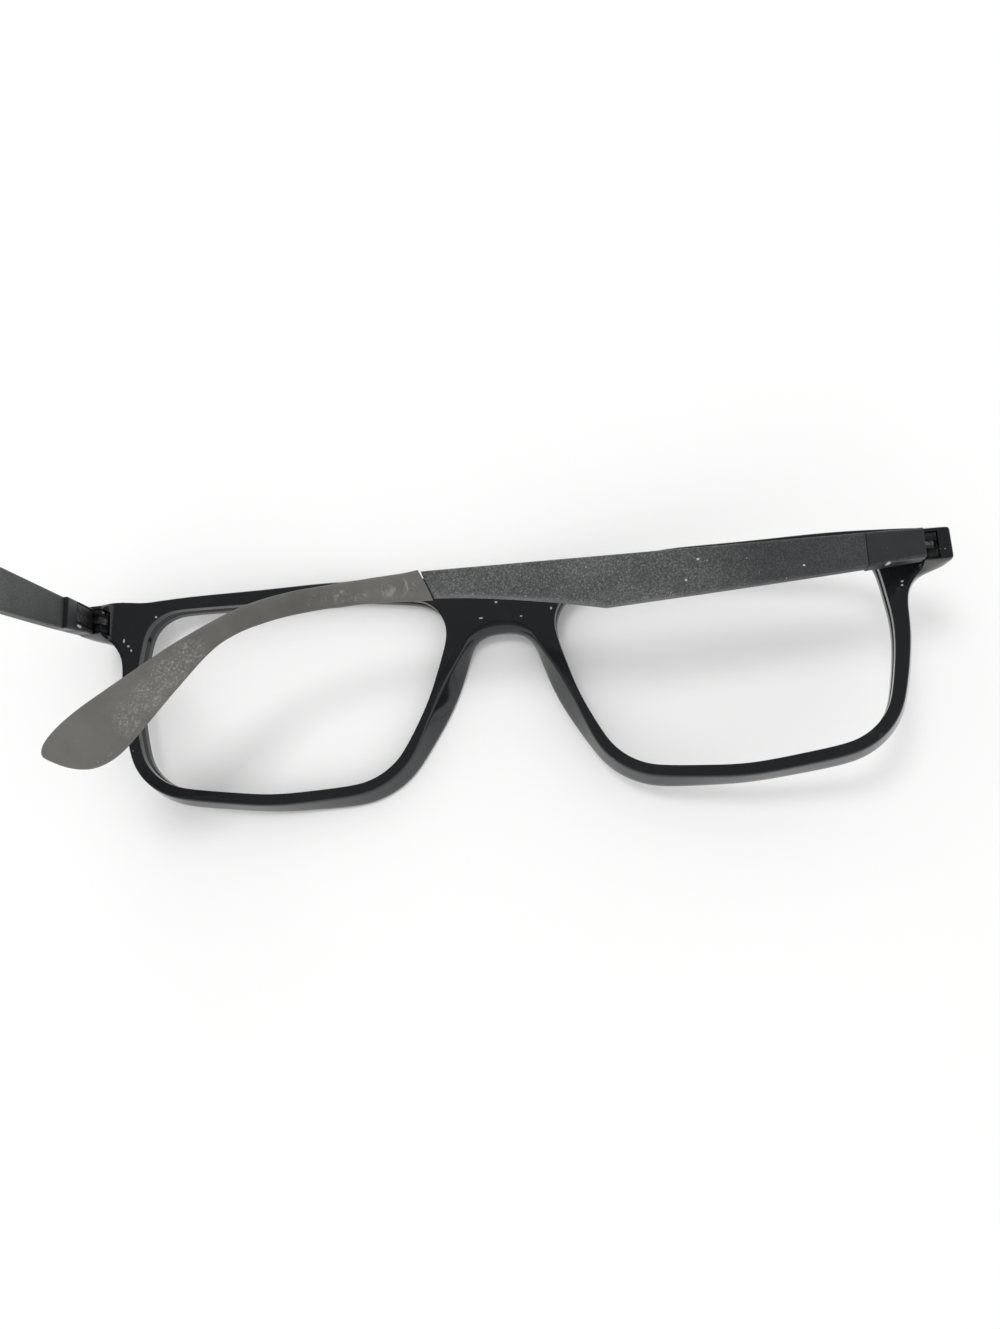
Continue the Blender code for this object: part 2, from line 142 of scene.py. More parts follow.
temple = {
    "blockLength": 8.7,
    "blockInner": 0.45,
    "open": 2.0,  # the leaf's pocket is open to the inside
    "thick": 2.2,
    "edge": 0.4,
    "edgeSteps": 4,
    "endEdge": 0.07,
    "endTurn": 1.0,  # radians between two faces at an end's edge
    "lowBow": 0.9,
    "sweepBow": 1.6,
    "wideArea": 8.0,
    "flatRing": 0.05,
    "topStart": 2.2,
    "lowStart": -2.5,
    "widestAt": 49.8,
    "widestLow": -7.3,
    "endAt": 76.1,
    "endTop": -0.2,
    "endLow": -4.25,
    "endSlant": 1.85,
    "frontSteps": 16,
    "sweepSteps": 9,
    "seam": 0.1,  # what is seen of the joint between block and bar
    "tongueThick": 0.9,
    "tongueTall": 2.2,
    "frontTongue": 5.0,
    "sleeveTongue": 22.0,
    "tongueRoot": 1.5,
}
sleeve = {
    # rows along it: lower point and upper point as (along, up), and the thickness
    "rows": (
        ((80.3, -4.72), (80.6, -0.2), 3.3),
        ((86.5, -4.68), (86.7, -0.7), 3.1),
        ((92.9, -5.1), (93.3, -1.4), 3.0),
        ((98.6, -5.85), (99.2, -2.15), 3.0),
        ((103.2, -6.95), (104.2, -3.3), 3.0),
        ((107.0, -8.3), (108.7, -5.15), 3.0),
        ((109.9, -10.0), (112.4, -7.1), 3.0),
        ((112.2, -12.3), (116.4, -9.3), 3.0),
        ((114.6, -15.1), (120.5, -11.9), 2.9),
        ((117.3, -18.1), (124.5, -14.5), 2.8),
        ((119.7, -21.0), (128.4, -17.1), 2.8),
        ((122.2, -24.0), (132.1, -19.6), 2.7),
        ((124.6, -26.6), (134.6, -21.9), 2.5),
        ((127.6, -28.1), (136.2, -24.0), 2.1),
        ((130.6, -28.1), (136.3, -25.6), 1.6),
        ((132.9, -27.5), (135.6, -26.2), 1.1),
    ),
    "mouth": 0.5,
    "proud": 0.5,
    "mouthCrease": 0.8,
    "smooth": 3,
    "wrinkle": 0.07,
    "wrinkleFrom": 79.0,
    "wrinkleTo": 97.0,
    "wrinkleEvery": 2.3,
    "dent": 0.05,
    "wrinkleStretch": (0.3, 0.45, 1.0),
    "dentEvery": 4.0,
    "dentFrom": (7, 3, 1),
    "shoulder": 0.3,  # of the thickness, where the flat sides begin
    "sharp": 50,
}


def newObject(name, bm):
    bmesh.ops.remove_doubles(bm, verts=bm.verts, dist=merge)
    bmesh.ops.recalc_face_normals(bm, faces=bm.faces)
    mesh = bpy.data.meshes.new(name)
    bm.to_mesh(mesh)
    bm.free()
    obj = bpy.data.objects.new(name, mesh)
    scene.collection.objects.link(obj)
    return obj


def settle(obj):
    # the modifiers' result becomes the mesh
    graph = bpy.context.evaluated_depsgraph_get()
    mesh = bpy.data.meshes.new_from_object(obj.evaluated_get(graph))
    old = obj.data
    obj.modifiers.clear()
    obj.data = mesh
    bpy.data.meshes.remove(old)
    mesh.name = obj.name


def faceOut(obj):
    bm = bmesh.new()
    bm.from_mesh(obj.data)
    bmesh.ops.recalc_face_normals(bm, faces=bm.faces)
    bm.to_mesh(obj.data)
    bm.free()


def combine(obj, tool, operation):
    change = obj.modifiers.new("combine", "BOOLEAN")
    change.operation = operation
    change.solver = "EXACT"
    change.object = tool
    settle(obj)
    # points that fell together are merged, for the next cut
    bm = bmesh.new()
    bm.from_mesh(obj.data)
    bmesh.ops.remove_doubles(bm, verts=bm.verts, dist=finest)
    bmesh.ops.dissolve_degenerate(bm, dist=finest, edges=bm.edges)
    bm.to_mesh(obj.data)
    bm.free()
    mesh = tool.data
    bpy.data.objects.remove(tool)
    bpy.data.meshes.remove(mesh)


def addSmooth(obj, levels):
    smooth = obj.modifiers.new("smooth", "SUBSURF")
    smooth.levels = levels
    smooth.render_levels = levels


def addEdgeRound(obj, width, steps):
    edge = obj.modifiers.new("edge", "BEVEL")
    edge.width = width
    edge.segments = steps
    edge.limit_method = "ANGLE"
    edge.angle_limit = radians(hinge["edgeAngle"])
    edge.harden_normals = False


def finishPiece(obj, place, body, cadNode, material, sharp=sharpAngle):
    mesh = obj.data
    mesh.transform(place @ Matrix.Scale(mm, 4))
    mesh.shade_smooth()
    mesh.set_sharp_from_angle(angle=radians(sharp))
    mesh.materials.clear()
    mesh.materials.append(material)
    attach(obj, body)
    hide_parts(cadNode)
    return obj


def finishTemple(obj, word, name, cadNode, material, sharp=sharpAngle):
    obj.name = word + name
    return finishPiece(obj, templePlace(word), word + "_temple", word + cadNode, material, sharp)


def sideOf(word):
    return 1 if word == "right" else -1


def faceDepth(x, y):
    return x * x / (2 * front["acrossRadius"]) + y * y / (2 * front["downRadius"])


def bentUp(x):
    share = (-x - endpiece["bendStart"]) / (endpiece["inner"] - endpiece["bendStart"])
    share = min(max(share, 0.0), 1.0)
    return endpiece["leftBend"] * share * share * (3 - 2 * share)


def hingePlace(word):
    side = sideOf(word)
    out = side * (endpiece["outer"] - hinge["in"])
    up = hinge["height"] + bentUp(side * endpiece["outer"])
    spot = Vector((out, up, endpiece["face"] - hinge["back"])) * mm
    return lying @ Matrix.Translation(spot) @ Matrix.Rotation(radians(hinge["lean"]), 4, "X")


def templePlace(word):
    # in the temple's own frame x is out, y is up and z runs along it
    side = sideOf(word)
    return hingePlace(word) @ Matrix.Rotation(radians(-side * hinge[word + "Fold"]), 4, "Y")


def boxTool(low, high):
    bm = bmesh.new()
    size = [b - a for a, b in zip(low, high)]
    middle = [(a + b) / 2 for a, b in zip(low, high)]
    bmesh.ops.create_cube(bm, size=1.0, matrix=Matrix.Translation(middle) @ Matrix.Diagonal((*size, 1)))
    return newObject("tool", bm)


def sideBox(side, inner, outer, low, high, near, far):
    # out from the hinge line, up it, and along the open temple
    edges = sorted((side * inner, side * outer))
    return boxTool((edges[0], low, near), (edges[1], high, far))


def turned(profile):
    # (radius, height) pairs turned about the hinge line
    bm = bmesh.new()
    points = [(0.0, profile[0][1]), *profile, (0.0, profile[-1][1])]
    verts = [bmesh.ops.create_vert(bm, co=(radius, height, 0.0))["vert"][0] for radius, height in points]
    for a, b in zip(verts, verts[1:]):
        bmesh.ops.contextual_create(bm, geom=[a, b])
    bmesh.ops.spin(bm, geom=[*bm.verts, *bm.edges], cent=(0, 0, 0), axis=(0, 1, 0), angle=2 * pi,
                   steps=hinge["turnSteps"], use_merge=True)
    bmesh.ops.remove_doubles(bm, verts=bm.verts, dist=merge)
    return newObject("turned", bm)


def slabAlong(outline, inner, outer, side):
    # an outline of (along, up) pairs between two distances out from the hinge line
    bm = bmesh.new()
    ring = bmesh.ops.create_circle(bm, cap_ends=True, segments=len(outline), radius=1.0)["verts"]
    for vert, (along, up) in zip(ring, outline):
        vert.co = (side * inner, up, along)
    grown = bmesh.ops.extrude_face_region(bm, geom=list(bm.faces))["geom"]
    moved = [v for v in grown if isinstance(v, bmesh.types.BMVert)]
    bmesh.ops.translate(bm, verts=moved, vec=(side * (outer - inner), 0, 0))
    bmesh.ops.recalc_face_normals(bm, faces=bm.faces)
    return bm


def roundRuns(bm):
    # the long edges get the full rounding, the ends a fine one
    def isRun(edge):
        step = edge.verts[0].co - edge.verts[1].co
        return abs(step.x) < merge and abs(step.z) > abs(step.y)

    bmesh.ops.bevel(bm, geom=[e for e in bm.edges if isRun(e)], offset=temple["edge"], offset_type="OFFSET",
                    segments=temple["edgeSteps"], profile=0.5, affect="EDGES", material=-1)
    ends = [e for e in bm.edges if len(e.link_faces) == 2 and e.calc_face_angle() > temple["endTurn"]]
    bmesh.ops.bevel(bm, geom=ends, offset=temple["endEdge"], offset_type="OFFSET", segments=2, profile=0.5,
                    affect="EDGES", material=-1)
    # a narrow ring inside each wide face keeps it flat to the eye
    wide = [f for f in bm.faces if f.calc_area() > temple["wideArea"]]
    bmesh.ops.inset_individual(bm, faces=wide, thickness=temple["flatRing"])


def firstRing(bm, points, capped=False):
    ring = bmesh.ops.create_circle(bm, cap_ends=capped, segments=len(points), radius=1.0)["verts"]
    for vert, point in zip(ring, points):
        vert.co = point
    return ring


def newVertOf(old, fresh):
    return next(e.other_vert(old) for e in old.link_edges if e.other_vert(old) in fresh)


def nextRing(bm, ring, points):
    edges = [bm.edges.get((a, b)) for a, b in zip(ring, ring[1:] + ring[:1])]
    grown = bmesh.ops.extrude_edge_only(bm, edges=edges)["geom"]
    fresh = {v for v in grown if isinstance(v, bmesh.types.BMVert)}
    ring = [newVertOf(vert, fresh) for vert in ring]
    for vert, point in zip(ring, points):
        vert.co = point
    return ring


def pushOut(bm, faces, places):
    # extrudes the faces, moves each corner to its new place and gives old corner -> new corner
    grown = bmesh.ops.extrude_face_region(bm, geom=faces)["geom"]
    fresh = {v for v in grown if isinstance(v, bmesh.types.BMVert)}
    made = {}
    for old in places:
        made[old] = newVertOf(old, fresh)
    for old, point in places.items():
        made[old].co = point
    bmesh.ops.delete(bm, geom=faces, context="FACES")
    return made, [f for f in grown if isinstance(f, bmesh.types.BMFace)]


def lensStations():
    # place, direction out of the lens, rim width front and back, and the corner it belongs to
    line = front["lensLine"]
    stations = []
    for i, (x, y, radius, wide, narrow) in enumerate(line):
        before = Vector(line[i - 1][:2])
        after = Vector(line[(i + 1) % len(line)][:2])
        here = Vector((x, y))
        arriving = (here - before).normalized()
        leaving = (after - here).normalized()
        turn = arriving.angle_signed(leaving)
        start = here - arriving * radius * tan(turn / 2)
        steps = front["arcSteps"] if radius else 0
        for k in range(steps + 1):
            share = k / steps if steps else 0.5
            heading = atan2(arriving.y, arriving.x) - turn * share
            out = Vector((-sin(heading), cos(heading)))
            first = Vector((-arriving.y, arriving.x))
            place = start + (out - first) * radius if radius else here
            stations.append((place, out, wide, narrow, i))
    filled = []
    for a, b in zip(stations, stations[1:] + stations[:1]):
        filled.append(a)
        if a[4] == b[4]:
            continue
        parts = int((b[0] - a[0]).length // front["longestStep"]) + 1
        for k in range(1, parts):
            s = k / parts
            filled.append((a[0].lerp(b[0], s), a[1].lerp(b[1], s).normalized(),
                           a[2] + (b[2] - a[2]) * s, a[3] + (b[3] - a[3]) * s, None))
    return filled


def rimSection(place, out, wide, narrow):
    # outward, z and edge crease, from the back inner edge forwards and round
    middle = -front["depth"] / 2
    half = front["grooveWidth"] / 2
    rows = (
        (0.0, 0.0, 0.6),
        (0.0, middle + half, 0.8),
        (front["grooveDepth"], middle, 0.5),
        (0.0, middle - half, 0.8),
        (0.0, -front["depth"], 0.6),
        (wide / 2, -front["depth"] - front["crown"], 0.0),
        (wide, -front["depth"], 0.4),
        (narrow, 0.0, 0.5),
        (narrow / 2, front["crown"] / 2, 0.0),
    )
    points = []
    for outward, z, crease in rows:
        spot = place + out * outward
        points.append((Vector((spot.x, spot.y, z + faceDepth(spot.x, spot.y))), crease))
    return points


def frontCage(bm):
    crease = bm.edges.layers.float.new("crease_edge")
    stations = lensStations()
    sections = [rimSection(*s[:4]) for s in stations]
    wall = len(sections[0]) - 3
    noseRows = [i for i, s in enumerate(stations) if s[4] == 0][:4]
    endRows = [i for i, s in enumerate(stations) if s[4] == 2][1:]

    def moveWall(rows, x, yStart, yEnd):
        for row, i in enumerate(rows):
            y = yStart + (yEnd - yStart) * row / (len(rows) - 1)
            for k in (wall, wall + 1):
                old, weight = sections[i][k]
                z = old.z - faceDepth(old.x, old.y) + faceDepth(x, y)
                sections[i][k] = (Vector((x, y, z)), weight)

    moveWall(noseRows, front["bridgeHalf"], front["bridgeUnder"], front["bridgeTop"])
    moveWall(endRows, endpiece["inner"], endpiece["frontHigh"], endpiece["frontLow"])

    lines = [[point for point, _ in section] for section in sections]
    rings = [firstRing(bm, lines[0])]
    for line in lines[1:]:
        rings.append(nextRing(bm, rings[-1], line))
    last = nextRing(bm, rings[-1], lines[0])
    bmesh.ops.weld_verts(bm, targetmap=dict(zip(last, rings[0])))
    count = len(rings)
    for i, section in enumerate(sections):
        for k, (_, weight) in enumerate(section):
            bm.edges.get((rings[i][k], rings[(i + 1) % count][k]))[crease] = weight

    def wallFaces(rows):
        faces = []
        for i in rows[:-1]:
            corners = (rings[i][wall], rings[i + 1][wall], rings[i + 1][wall + 1], rings[i][wall + 1])
            faces.append(bm.faces.get(corners))
        return faces

    # the bridge, out to the middle of the front, left open there for the mirror
    places = {}
    for row, i in enumerate(noseRows):
        share = row / (len(noseRows) - 1)
        under = front["bridgeUnder"] + front["bridgeArch"]
        y = under * (1 - share) + front["bridgeTop"] * share
        z = faceDepth(0, y)
        places[rings[i][wall]] = Vector((0, y, z - front["depth"] - front["crown"]))
        places[rings[i][wall + 1]] = Vector((0, y, z))
    made, caps = pushOut(bm, wallFaces(noseRows), places)
    bmesh.ops.delete(bm, geom=caps, context="FACES")

    # the endpiece: out to its side, then back to its flat end
    places = {}
    for row, i in enumerate(endRows):
        share = row / (len(endRows) - 1)
        high = endpiece["high"] + endpiece["brow"]
        y = high + (endpiece["low"] - endpiece["keel"] - high) * share
        z = faceDepth(endpiece["outer"], y)
        places[rings[i][wall]] = Vector((endpiece["outer"], y, z - front["depth"] + endpiece["wrap"]))
        places[rings[i][wall + 1]] = Vector((endpiece["outer"], y, z + endpiece["lift"]))
    made, caps = pushOut(bm, wallFaces(endRows), places)
    inner = [rings[i][wall + 1] for i in endRows]
    outer = [made[v] for v in inner]
    backFaces = []
    for a, b, c, d in zip(inner, outer, outer[1:], inner[1:]):
        backFaces.append(bm.faces.get((a, b, c, d)))
    places = {}
    for row, (a, b) in enumerate(zip(inner, outer)):
        share = row / (len(endRows) - 1)
        y = endpiece["high"] + (endpiece["low"] - endpiece["high"]) * share
        places[a] = Vector((endpiece["inner"], y, endpiece["face"]))
        places[b] = Vector((endpiece["outer"], y, endpiece["face"]))
    made, caps = pushOut(bm, backFaces, places)
    for face in caps:
        for edge in face.edges:
            outside = any(f not in caps for f in edge.link_faces)
            if outside:
                edge[crease] = endpiece["endCrease"]
    for a, b in ((inner[0], outer[0]), (inner[-1], outer[-1])):
        bm.edges.get((a, made[a]))[crease] = endpiece["innerCrease"]
        bm.edges.get((b, made[b]))[crease] = endpiece["outerCrease"]


def stackHalves():
    # half heights of the middle barrel and of the whole hinge
    middle = hinge["barrelTall"] / 2
    return middle, middle + hinge["barrelGap"] + hinge["barrelTall"]


def hingeSlot(word):
    # room for the fork at the flat end, and for its leaf further in
    side = sideOf(word)
    half = stackHalves()[1] + hinge["gap"]
    room = hinge["barrel"] + hinge["gap"]
    tool = sideBox(side, -hinge["reach"], room, -half, half, -room, hinge["reach"])
    leafIn = hinge["barrel"] - hinge["leafThick"] - hinge["gap"]
    leaf = sideBox(side, leafIn, room, -half, half, -hinge["frontLeaf"] - hinge["gap"], 0.0)
    combine(tool, leaf, "UNION")
    toMm = Matrix.Scale(1 / mm, 4) @ lying.inverted() @ hingePlace(word) @ Matrix.Scale(mm, 4)
    tool.data.transform(toMm)
    return tool


def makeFront(material):
    bm = bmesh.new()
    frontCage(bm)
    obj = newObject("frontMoulding", bm)
    mirror = obj.modifiers.new("other half", "MIRROR")
    mirror.merge_threshold = front["joinWithin"]
    addSmooth(obj, front["smooth"])
    settle(obj)
    faceOut(obj)
    for vert in obj.data.vertices:
        vert.co.y += bentUp(vert.co.x)
    for word in ("right", "left"):
        combine(obj, hingeSlot(word), "DIFFERENCE")
    return finishPiece(obj, lying, "front", "front_frame", material,
                       front["sharp"])


def makeFrontHinge(word, material):
    # a square fork let into the endpiece, with a leaf that runs on into it
    side = sideOf(word)
    middle, whole = stackHalves()
    leafIn = hinge["barrel"] - hinge["leafThick"]
    fork = sideBox(side, leafIn, hinge["barrel"], -whole, whole, -hinge["frontLeaf"], 0.0)
    inner = endpiece["inner"] - (endpiece["outer"] - hinge["in"]) + hinge["forkInset"]
    body = sideBox(side, inner, hinge["barrel"], -whole, whole, -hinge["barrel"],
                   hinge["back"] - hinge["forkInset"])
    combine(fork, body, "UNION")
    room = middle + hinge["barrelGap"]
    clear = hinge["barrel"] + hinge["gap"]
    behind = sideBox(side, -hinge["reach"], hinge["reach"], -room, room, 0.0, hinge["reach"])
    combine(fork, behind, "DIFFERENCE")
    combine(fork, turned(((clear, -room), (clear, room))), "DIFFERENCE")
    addEdgeRound(fork, hinge["edge"], hinge["edgeSteps"])
    settle(fork)
    seat = whole - screw["headTall"]
    bore = screw["radius"] + hinge["gap"]
    headBore = screw["headRadius"] + hinge["gap"]
    start = seat - hinge["gap"] / 2
    past = hinge["past"]
    steps = ((bore, -whole - past), (bore, start), (headBore, start), (headBore, whole + past))
    combine(fork, turned(steps), "DIFFERENCE")
    fork.name = word + "Fork"
    return finishPiece(fork, hingePlace(word), "front", word + "_front_hinge", material)


def makeScrew(word, material):
    whole = stackHalves()[1]
    seat = whole - screw["headTall"]
    foot = screw["sunk"] - whole
    brow = whole - screw["sunk"]
    edge = screw["round"]
    radius = screw["radius"]
    head = screw["headRadius"]
    core = radius - screw["threadOut"]
    obj = turned(((radius - edge, foot), (radius, foot + edge), (radius, seat), (head - edge, seat),
                  (head, seat + edge), (head, brow - edge), (head - edge, brow)))
    slot = boxTool((-screw["slotLong"] / 2, brow - screw["slotDeep"], -screw["slotWide"] / 2),
                   (screw["slotLong"] / 2, whole + hinge["past"], screw["slotWide"] / 2))
    combine(obj, slot, "DIFFERENCE")
    # the thread is a winding groove at the screw's foot
    bm = bmesh.new()
    half = screw["pitch"] * screw["grooveShare"]
    start = foot - screw["pitch"]
    outside = radius + screw["grooveOut"]
    corners = ((outside, start - half), (outside, start + half), (core, start))
    verts = [bmesh.ops.create_vert(bm, co=(r, height, 0.0))["vert"][0] for r, height in corners]
    bmesh.ops.contextual_create(bm, geom=verts)
    steps = screw["turns"] * hinge["turnSteps"] // 2
    step = screw["turns"] * screw["pitch"] / steps
    bmesh.ops.spin(bm, geom=list(bm.faces), cent=(0, 0, 0), axis=(0, 1, 0), dvec=(0, step, 0),
                   angle=2 * pi * screw["turns"], steps=steps)
    combine(obj, newObject("thread", bm), "DIFFERENCE")
    obj.name = word + "Screw"
    return finishPiece(obj, hingePlace(word), "front", word + "_hinge_screw", material,
                       screw["sharp"])


def makeTempleHinge(word, material):
    side = sideOf(word)
    middle = stackHalves()[0]
    start = hinge["barrel"] + hinge["gap"]
    half = hinge["templeLeafTall"] / 2
    end = hinge["templeLeaf"]
    outline = ((0.0, -middle), (start, -middle), (start, -half), (end, -half),
               (end, half), (start, half), (start, middle), (0.0, middle))
    inner = temple["blockInner"] + hinge["leafSink"]
    bm = slabAlong(outline, inner, inner + hinge["leafThick"], side)
    bmesh.ops.bevel(bm, geom=list(bm.edges), offset=hinge["edge"], offset_type="OFFSET", segments=2,
                    profile=0.5, affect="EDGES", material=-1)
    leaf = newObject("leaf", bm)
    combine(leaf, turned(((hinge["barrel"], -middle), (hinge["barrel"], middle))), "UNION")
    bore = screw["radius"] + hinge["gap"]
    end = middle + hinge["past"]
    combine(leaf, turned(((bore, -end), (bore, end))), "DIFFERENCE")
    return finishTemple(leaf, word, "TempleLeaf", "_temple_hinge", material)


def topEdge(along):
    first = hinge["back"] + hinge["gap"]
    share = (along - first) / (temple["endAt"] - first)
    return temple["topStart"] + (temple["endTop"] - temple["topStart"]) * share


def lowEdge(along):
    first = hinge["back"] + hinge["gap"]
    share = (along - first) / (temple["widestAt"] - first)
    return temple["lowStart"] + (temple["widestLow"] - temple["lowStart"]) * share ** temple["lowBow"]


def barMiddle():
    return hinge["in"] - temple["thick"] / 2


def frontTongue(start, length, grow):
    middle = (topEdge(start) + lowEdge(start)) / 2
    half = temple["tongueTall"] / 2 + grow
    root = start + temple["tongueRoot"]
    return ((start - length, middle - half), (start - length, middle + half), (root, middle + half),
            (root, middle - half))


def sleeveTongue(grow):
    # it follows the sleeve's own middle line
    half = temple["tongueTall"] / 2 + grow
    end = temple["endAt"] + temple["sleeveTongue"] + grow
    line = [Vector((temple["endAt"] - temple["tongueRoot"], (temple["endTop"] + temple["endLow"]) / 2))]
    for row in sleeve["rows"]:
        here = (Vector(row[0]) + Vector(row[1])) / 2
        if here.x > end:
            line.append(line[-1].lerp(here, (end - line[-1].x) / (here.x - line[-1].x)))
            break
        line.append(here)
    return [(p.x, p.y - half) for p in line] + [(p.x, p.y + half) for p in reversed(line)]


def tongueSides(grow):
    half = temple["tongueThick"] / 2 + grow
    return barMiddle() - half, barMiddle() + half


def makeBlock(word, material):
    side = sideOf(word)
    first = hinge["back"] + hinge["gap"]
    last = first + temple["blockLength"]
    outline = ((first, topEdge(first)), (first, lowEdge(first)),
               (last, lowEdge(last)), (last, topEdge(last)))
    bm = slabAlong(outline, temple["blockInner"], hinge["in"], side)
    roundRuns(bm)
    block = newObject("block", bm)
    half = hinge["templeLeafTall"] / 2 + hinge["gap"]
    leafOut = temple["blockInner"] + hinge["leafSink"] + hinge["leafThick"] + hinge["gap"]
    end = hinge["templeLeaf"] + hinge["gap"]
    combine(block, sideBox(side, -temple["open"], leafOut, -half, half, 0.0, end), "DIFFERENCE")
    pocket = slabAlong(frontTongue(last, temple["frontTongue"] + hinge["gap"], hinge["gap"]),
                       *tongueSides(hinge["gap"]), side)
    combine(block, newObject("pocket", pocket), "DIFFERENCE")
    return finishTemple(block, word, "Block", "_hinge_block", material)


def makeBar(word, material):
    side = sideOf(word)
    blockEnd = hinge["back"] + hinge["gap"] + temple["blockLength"]
    first = blockEnd + temple["seam"]
    outline = [(first, topEdge(first))]
    for k in range(temple["frontSteps"] + 1):
        along = first + (temple["widestAt"] - first) * k / temple["frontSteps"]
        outline.append((along, lowEdge(along)))
    # behind the widest place the lower edge sweeps up to the sleeve
    rise = temple["endLow"] - temple["widestLow"]
    for k in range(1, temple["sweepSteps"] + 1):
        share = k / temple["sweepSteps"]
        along = temple["widestAt"] + (temple["endAt"] - temple["widestAt"]) * share
        outline.append((along, temple["widestLow"] + rise * (1 - (1 - share) ** temple["sweepBow"])))
    outline.append((temple["endAt"] + temple["endSlant"], temple["endTop"]))
    bm = slabAlong(outline, hinge["in"] - temple["thick"], hinge["in"], side)
    roundRuns(bm)
    bar = newObject("bar", bm)
    sides = tongueSides(0.0)
    tongue = frontTongue(blockEnd + hinge["gap"], temple["frontTongue"], 0.0)
    combine(bar, newObject("tongue", slabAlong(tongue, *sides, side)), "UNION")
    combine(bar, newObject("tongue", slabAlong(sleeveTongue(0.0), *sides, side)), "UNION")
    return finishTemple(bar, word, "Bar", "_temple_bar", material)


def sleeveSection(low, high, thick, side):
    # eight points of a flat oval between a lower and an upper point
    low, high = Vector(low), Vector(high)
    shoulder = sleeve["shoulder"] * thick / (high - low).length
    rows = ((1.0, 0.25), (1.0 - shoulder, 0.5), (shoulder, 0.5), (0.0, 0.25),
            (0.0, -0.25), (shoulder, -0.5), (1.0 - shoulder, -0.5), (1.0, -0.25))
    points = []
    for tall, wide in rows:
        spot = low.lerp(high, tall)
        points.append(Vector((side * (barMiddle() + wide * thick), spot.y, spot.x)))
    return points


def wrinkled(co, normal):
    # cross wrinkles behind the mouth and shallow dents all along
    share = (co.z - sleeve["wrinkleFrom"]) / (sleeve["wrinkleTo"] - sleeve["wrinkleFrom"])
    fade = max(0.0, 1 - abs(2 * share - 1)) if 0 < share < 1 else 0.0
    spot = Matrix.Diagonal(sleeve["wrinkleStretch"]) @ co / sleeve["wrinkleEvery"]
    fold = noise.noise(spot) * sleeve["wrinkle"] * fade
    dent = noise.noise(co / sleeve["dentEvery"] + Vector(sleeve["dentFrom"])) * sleeve["dent"]
    return co + normal * (fold * 2 + dent - sleeve["dent"] / 2)


def makeSleeve(word, material):
    side = sideOf(word)
    bm = bmesh.new()
    crease = bm.edges.layers.float.new("crease_edge")
    # the mouth follows the slanted end of the bar and stands proud of it
    slant = Vector((temple["endSlant"], temple["endTop"] - temple["endLow"]))
    proud = slant.normalized() * sleeve["proud"]
    sections = []
    for shift in (0.0, sleeve["mouth"]):
        low = Vector((temple["endAt"] + hinge["gap"] + shift, temple["endLow"]))
        thick = temple["thick"] + 2 * sleeve["proud"]
        sections.append(sleeveSection(low - proud, low + slant + proud, thick, side))
    for low, high, thick in sleeve["rows"]:
        sections.append(sleeveSection(low, high, thick, side))
    mouth = ring = firstRing(bm, sections[0], True)
    for section in sections[1:]:
        ring = nextRing(bm, ring, section)
    bmesh.ops.holes_fill(bm, edges=[bm.edges.get((a, b)) for a, b in zip(ring, ring[1:] + ring[:1])])
    for a, b in zip(mouth, mouth[1:] + mouth[:1]):
        bm.edges.get((a, b))[crease] = sleeve["mouthCrease"]
    obj = newObject("sleeve", bm)
    addSmooth(obj, sleeve["smooth"])
    settle(obj)
    places = [(vert.co.copy(), vert.normal.copy()) for vert in obj.data.vertices]
    for vert, (co, normal) in zip(obj.data.vertices, places):
        vert.co = wrinkled(co, normal)
    hollow = slabAlong(sleeveTongue(hinge["gap"]), *tongueSides(hinge["gap"]), side)
    combine(obj, newObject("hollow", hollow), "DIFFERENCE")
    return finishTemple(obj, word, "Sleeve", "_tip_sleeve", material, sleeve["sharp"])


def feed(tree, socket, value):
    if isinstance(value, bpy.types.NodeSocket):
        tree.links.new(value, socket)
    elif socket.type == "RGBA":
        socket.default_value = (*value, 1)
    else:
        socket.default_value = value


def addNode(tree, kind, inputs=None, **settings):
    made = tree.nodes.new("ShaderNode" + kind)
    for name, value in settings.items():
        setattr(made, name, value)
    for name, value in (inputs or {}).items():
        feed(tree, made.inputs[name], value)
    return made


def math(tree, operation, *values):
    return addNode(tree, "Math", dict(enumerate(values)), operation=operation).outputs[0]


def times(tree, *values):
    made = values[0]
    for value in values[1:]:
        made = math(tree, "MULTIPLY", made, value)
    return made


def largest(tree, *masks):
    # of some masks, each given with how much of it shows
    made = None
    for mask, show in masks:
        one = times(tree, mask, show)
        made = one if made is None else math(tree, "MAXIMUM", made, one)
    return made


def between(tree, value, low, high, start=0.0, end=1.0):
    # value from low..high to start..end, smoothly, and held outside it
    inputs = {"Value": value, "From Min": low, "From Max": high, "To Min": start, "To Max": end}
    return addNode(tree, "MapRange", inputs, interpolation_type="SMOOTHSTEP").outputs["Result"]


def mixed(tree, share, a, b):
    return addNode(tree, "Mix", {0: share, 6: a, 7: b}, data_type="RGBA").outputs[2]


def noiseAt(tree, place, scale, detail, rough, distortion=0.0):
    inputs = {"Vector": place, "Scale": scale, "Detail": detail, "Roughness": rough,
              "Distortion": distortion}
    return addNode(tree, "TexNoise", inputs).outputs["Fac"]


def cellsAt(tree, place, scale):
    cells = addNode(tree, "TexVoronoi", {"Vector": place, "Scale": scale}, feature="F1").outputs
    return cells["Distance"], addNode(tree, "SeparateColor", {"Color": cells["Color"]}).outputs


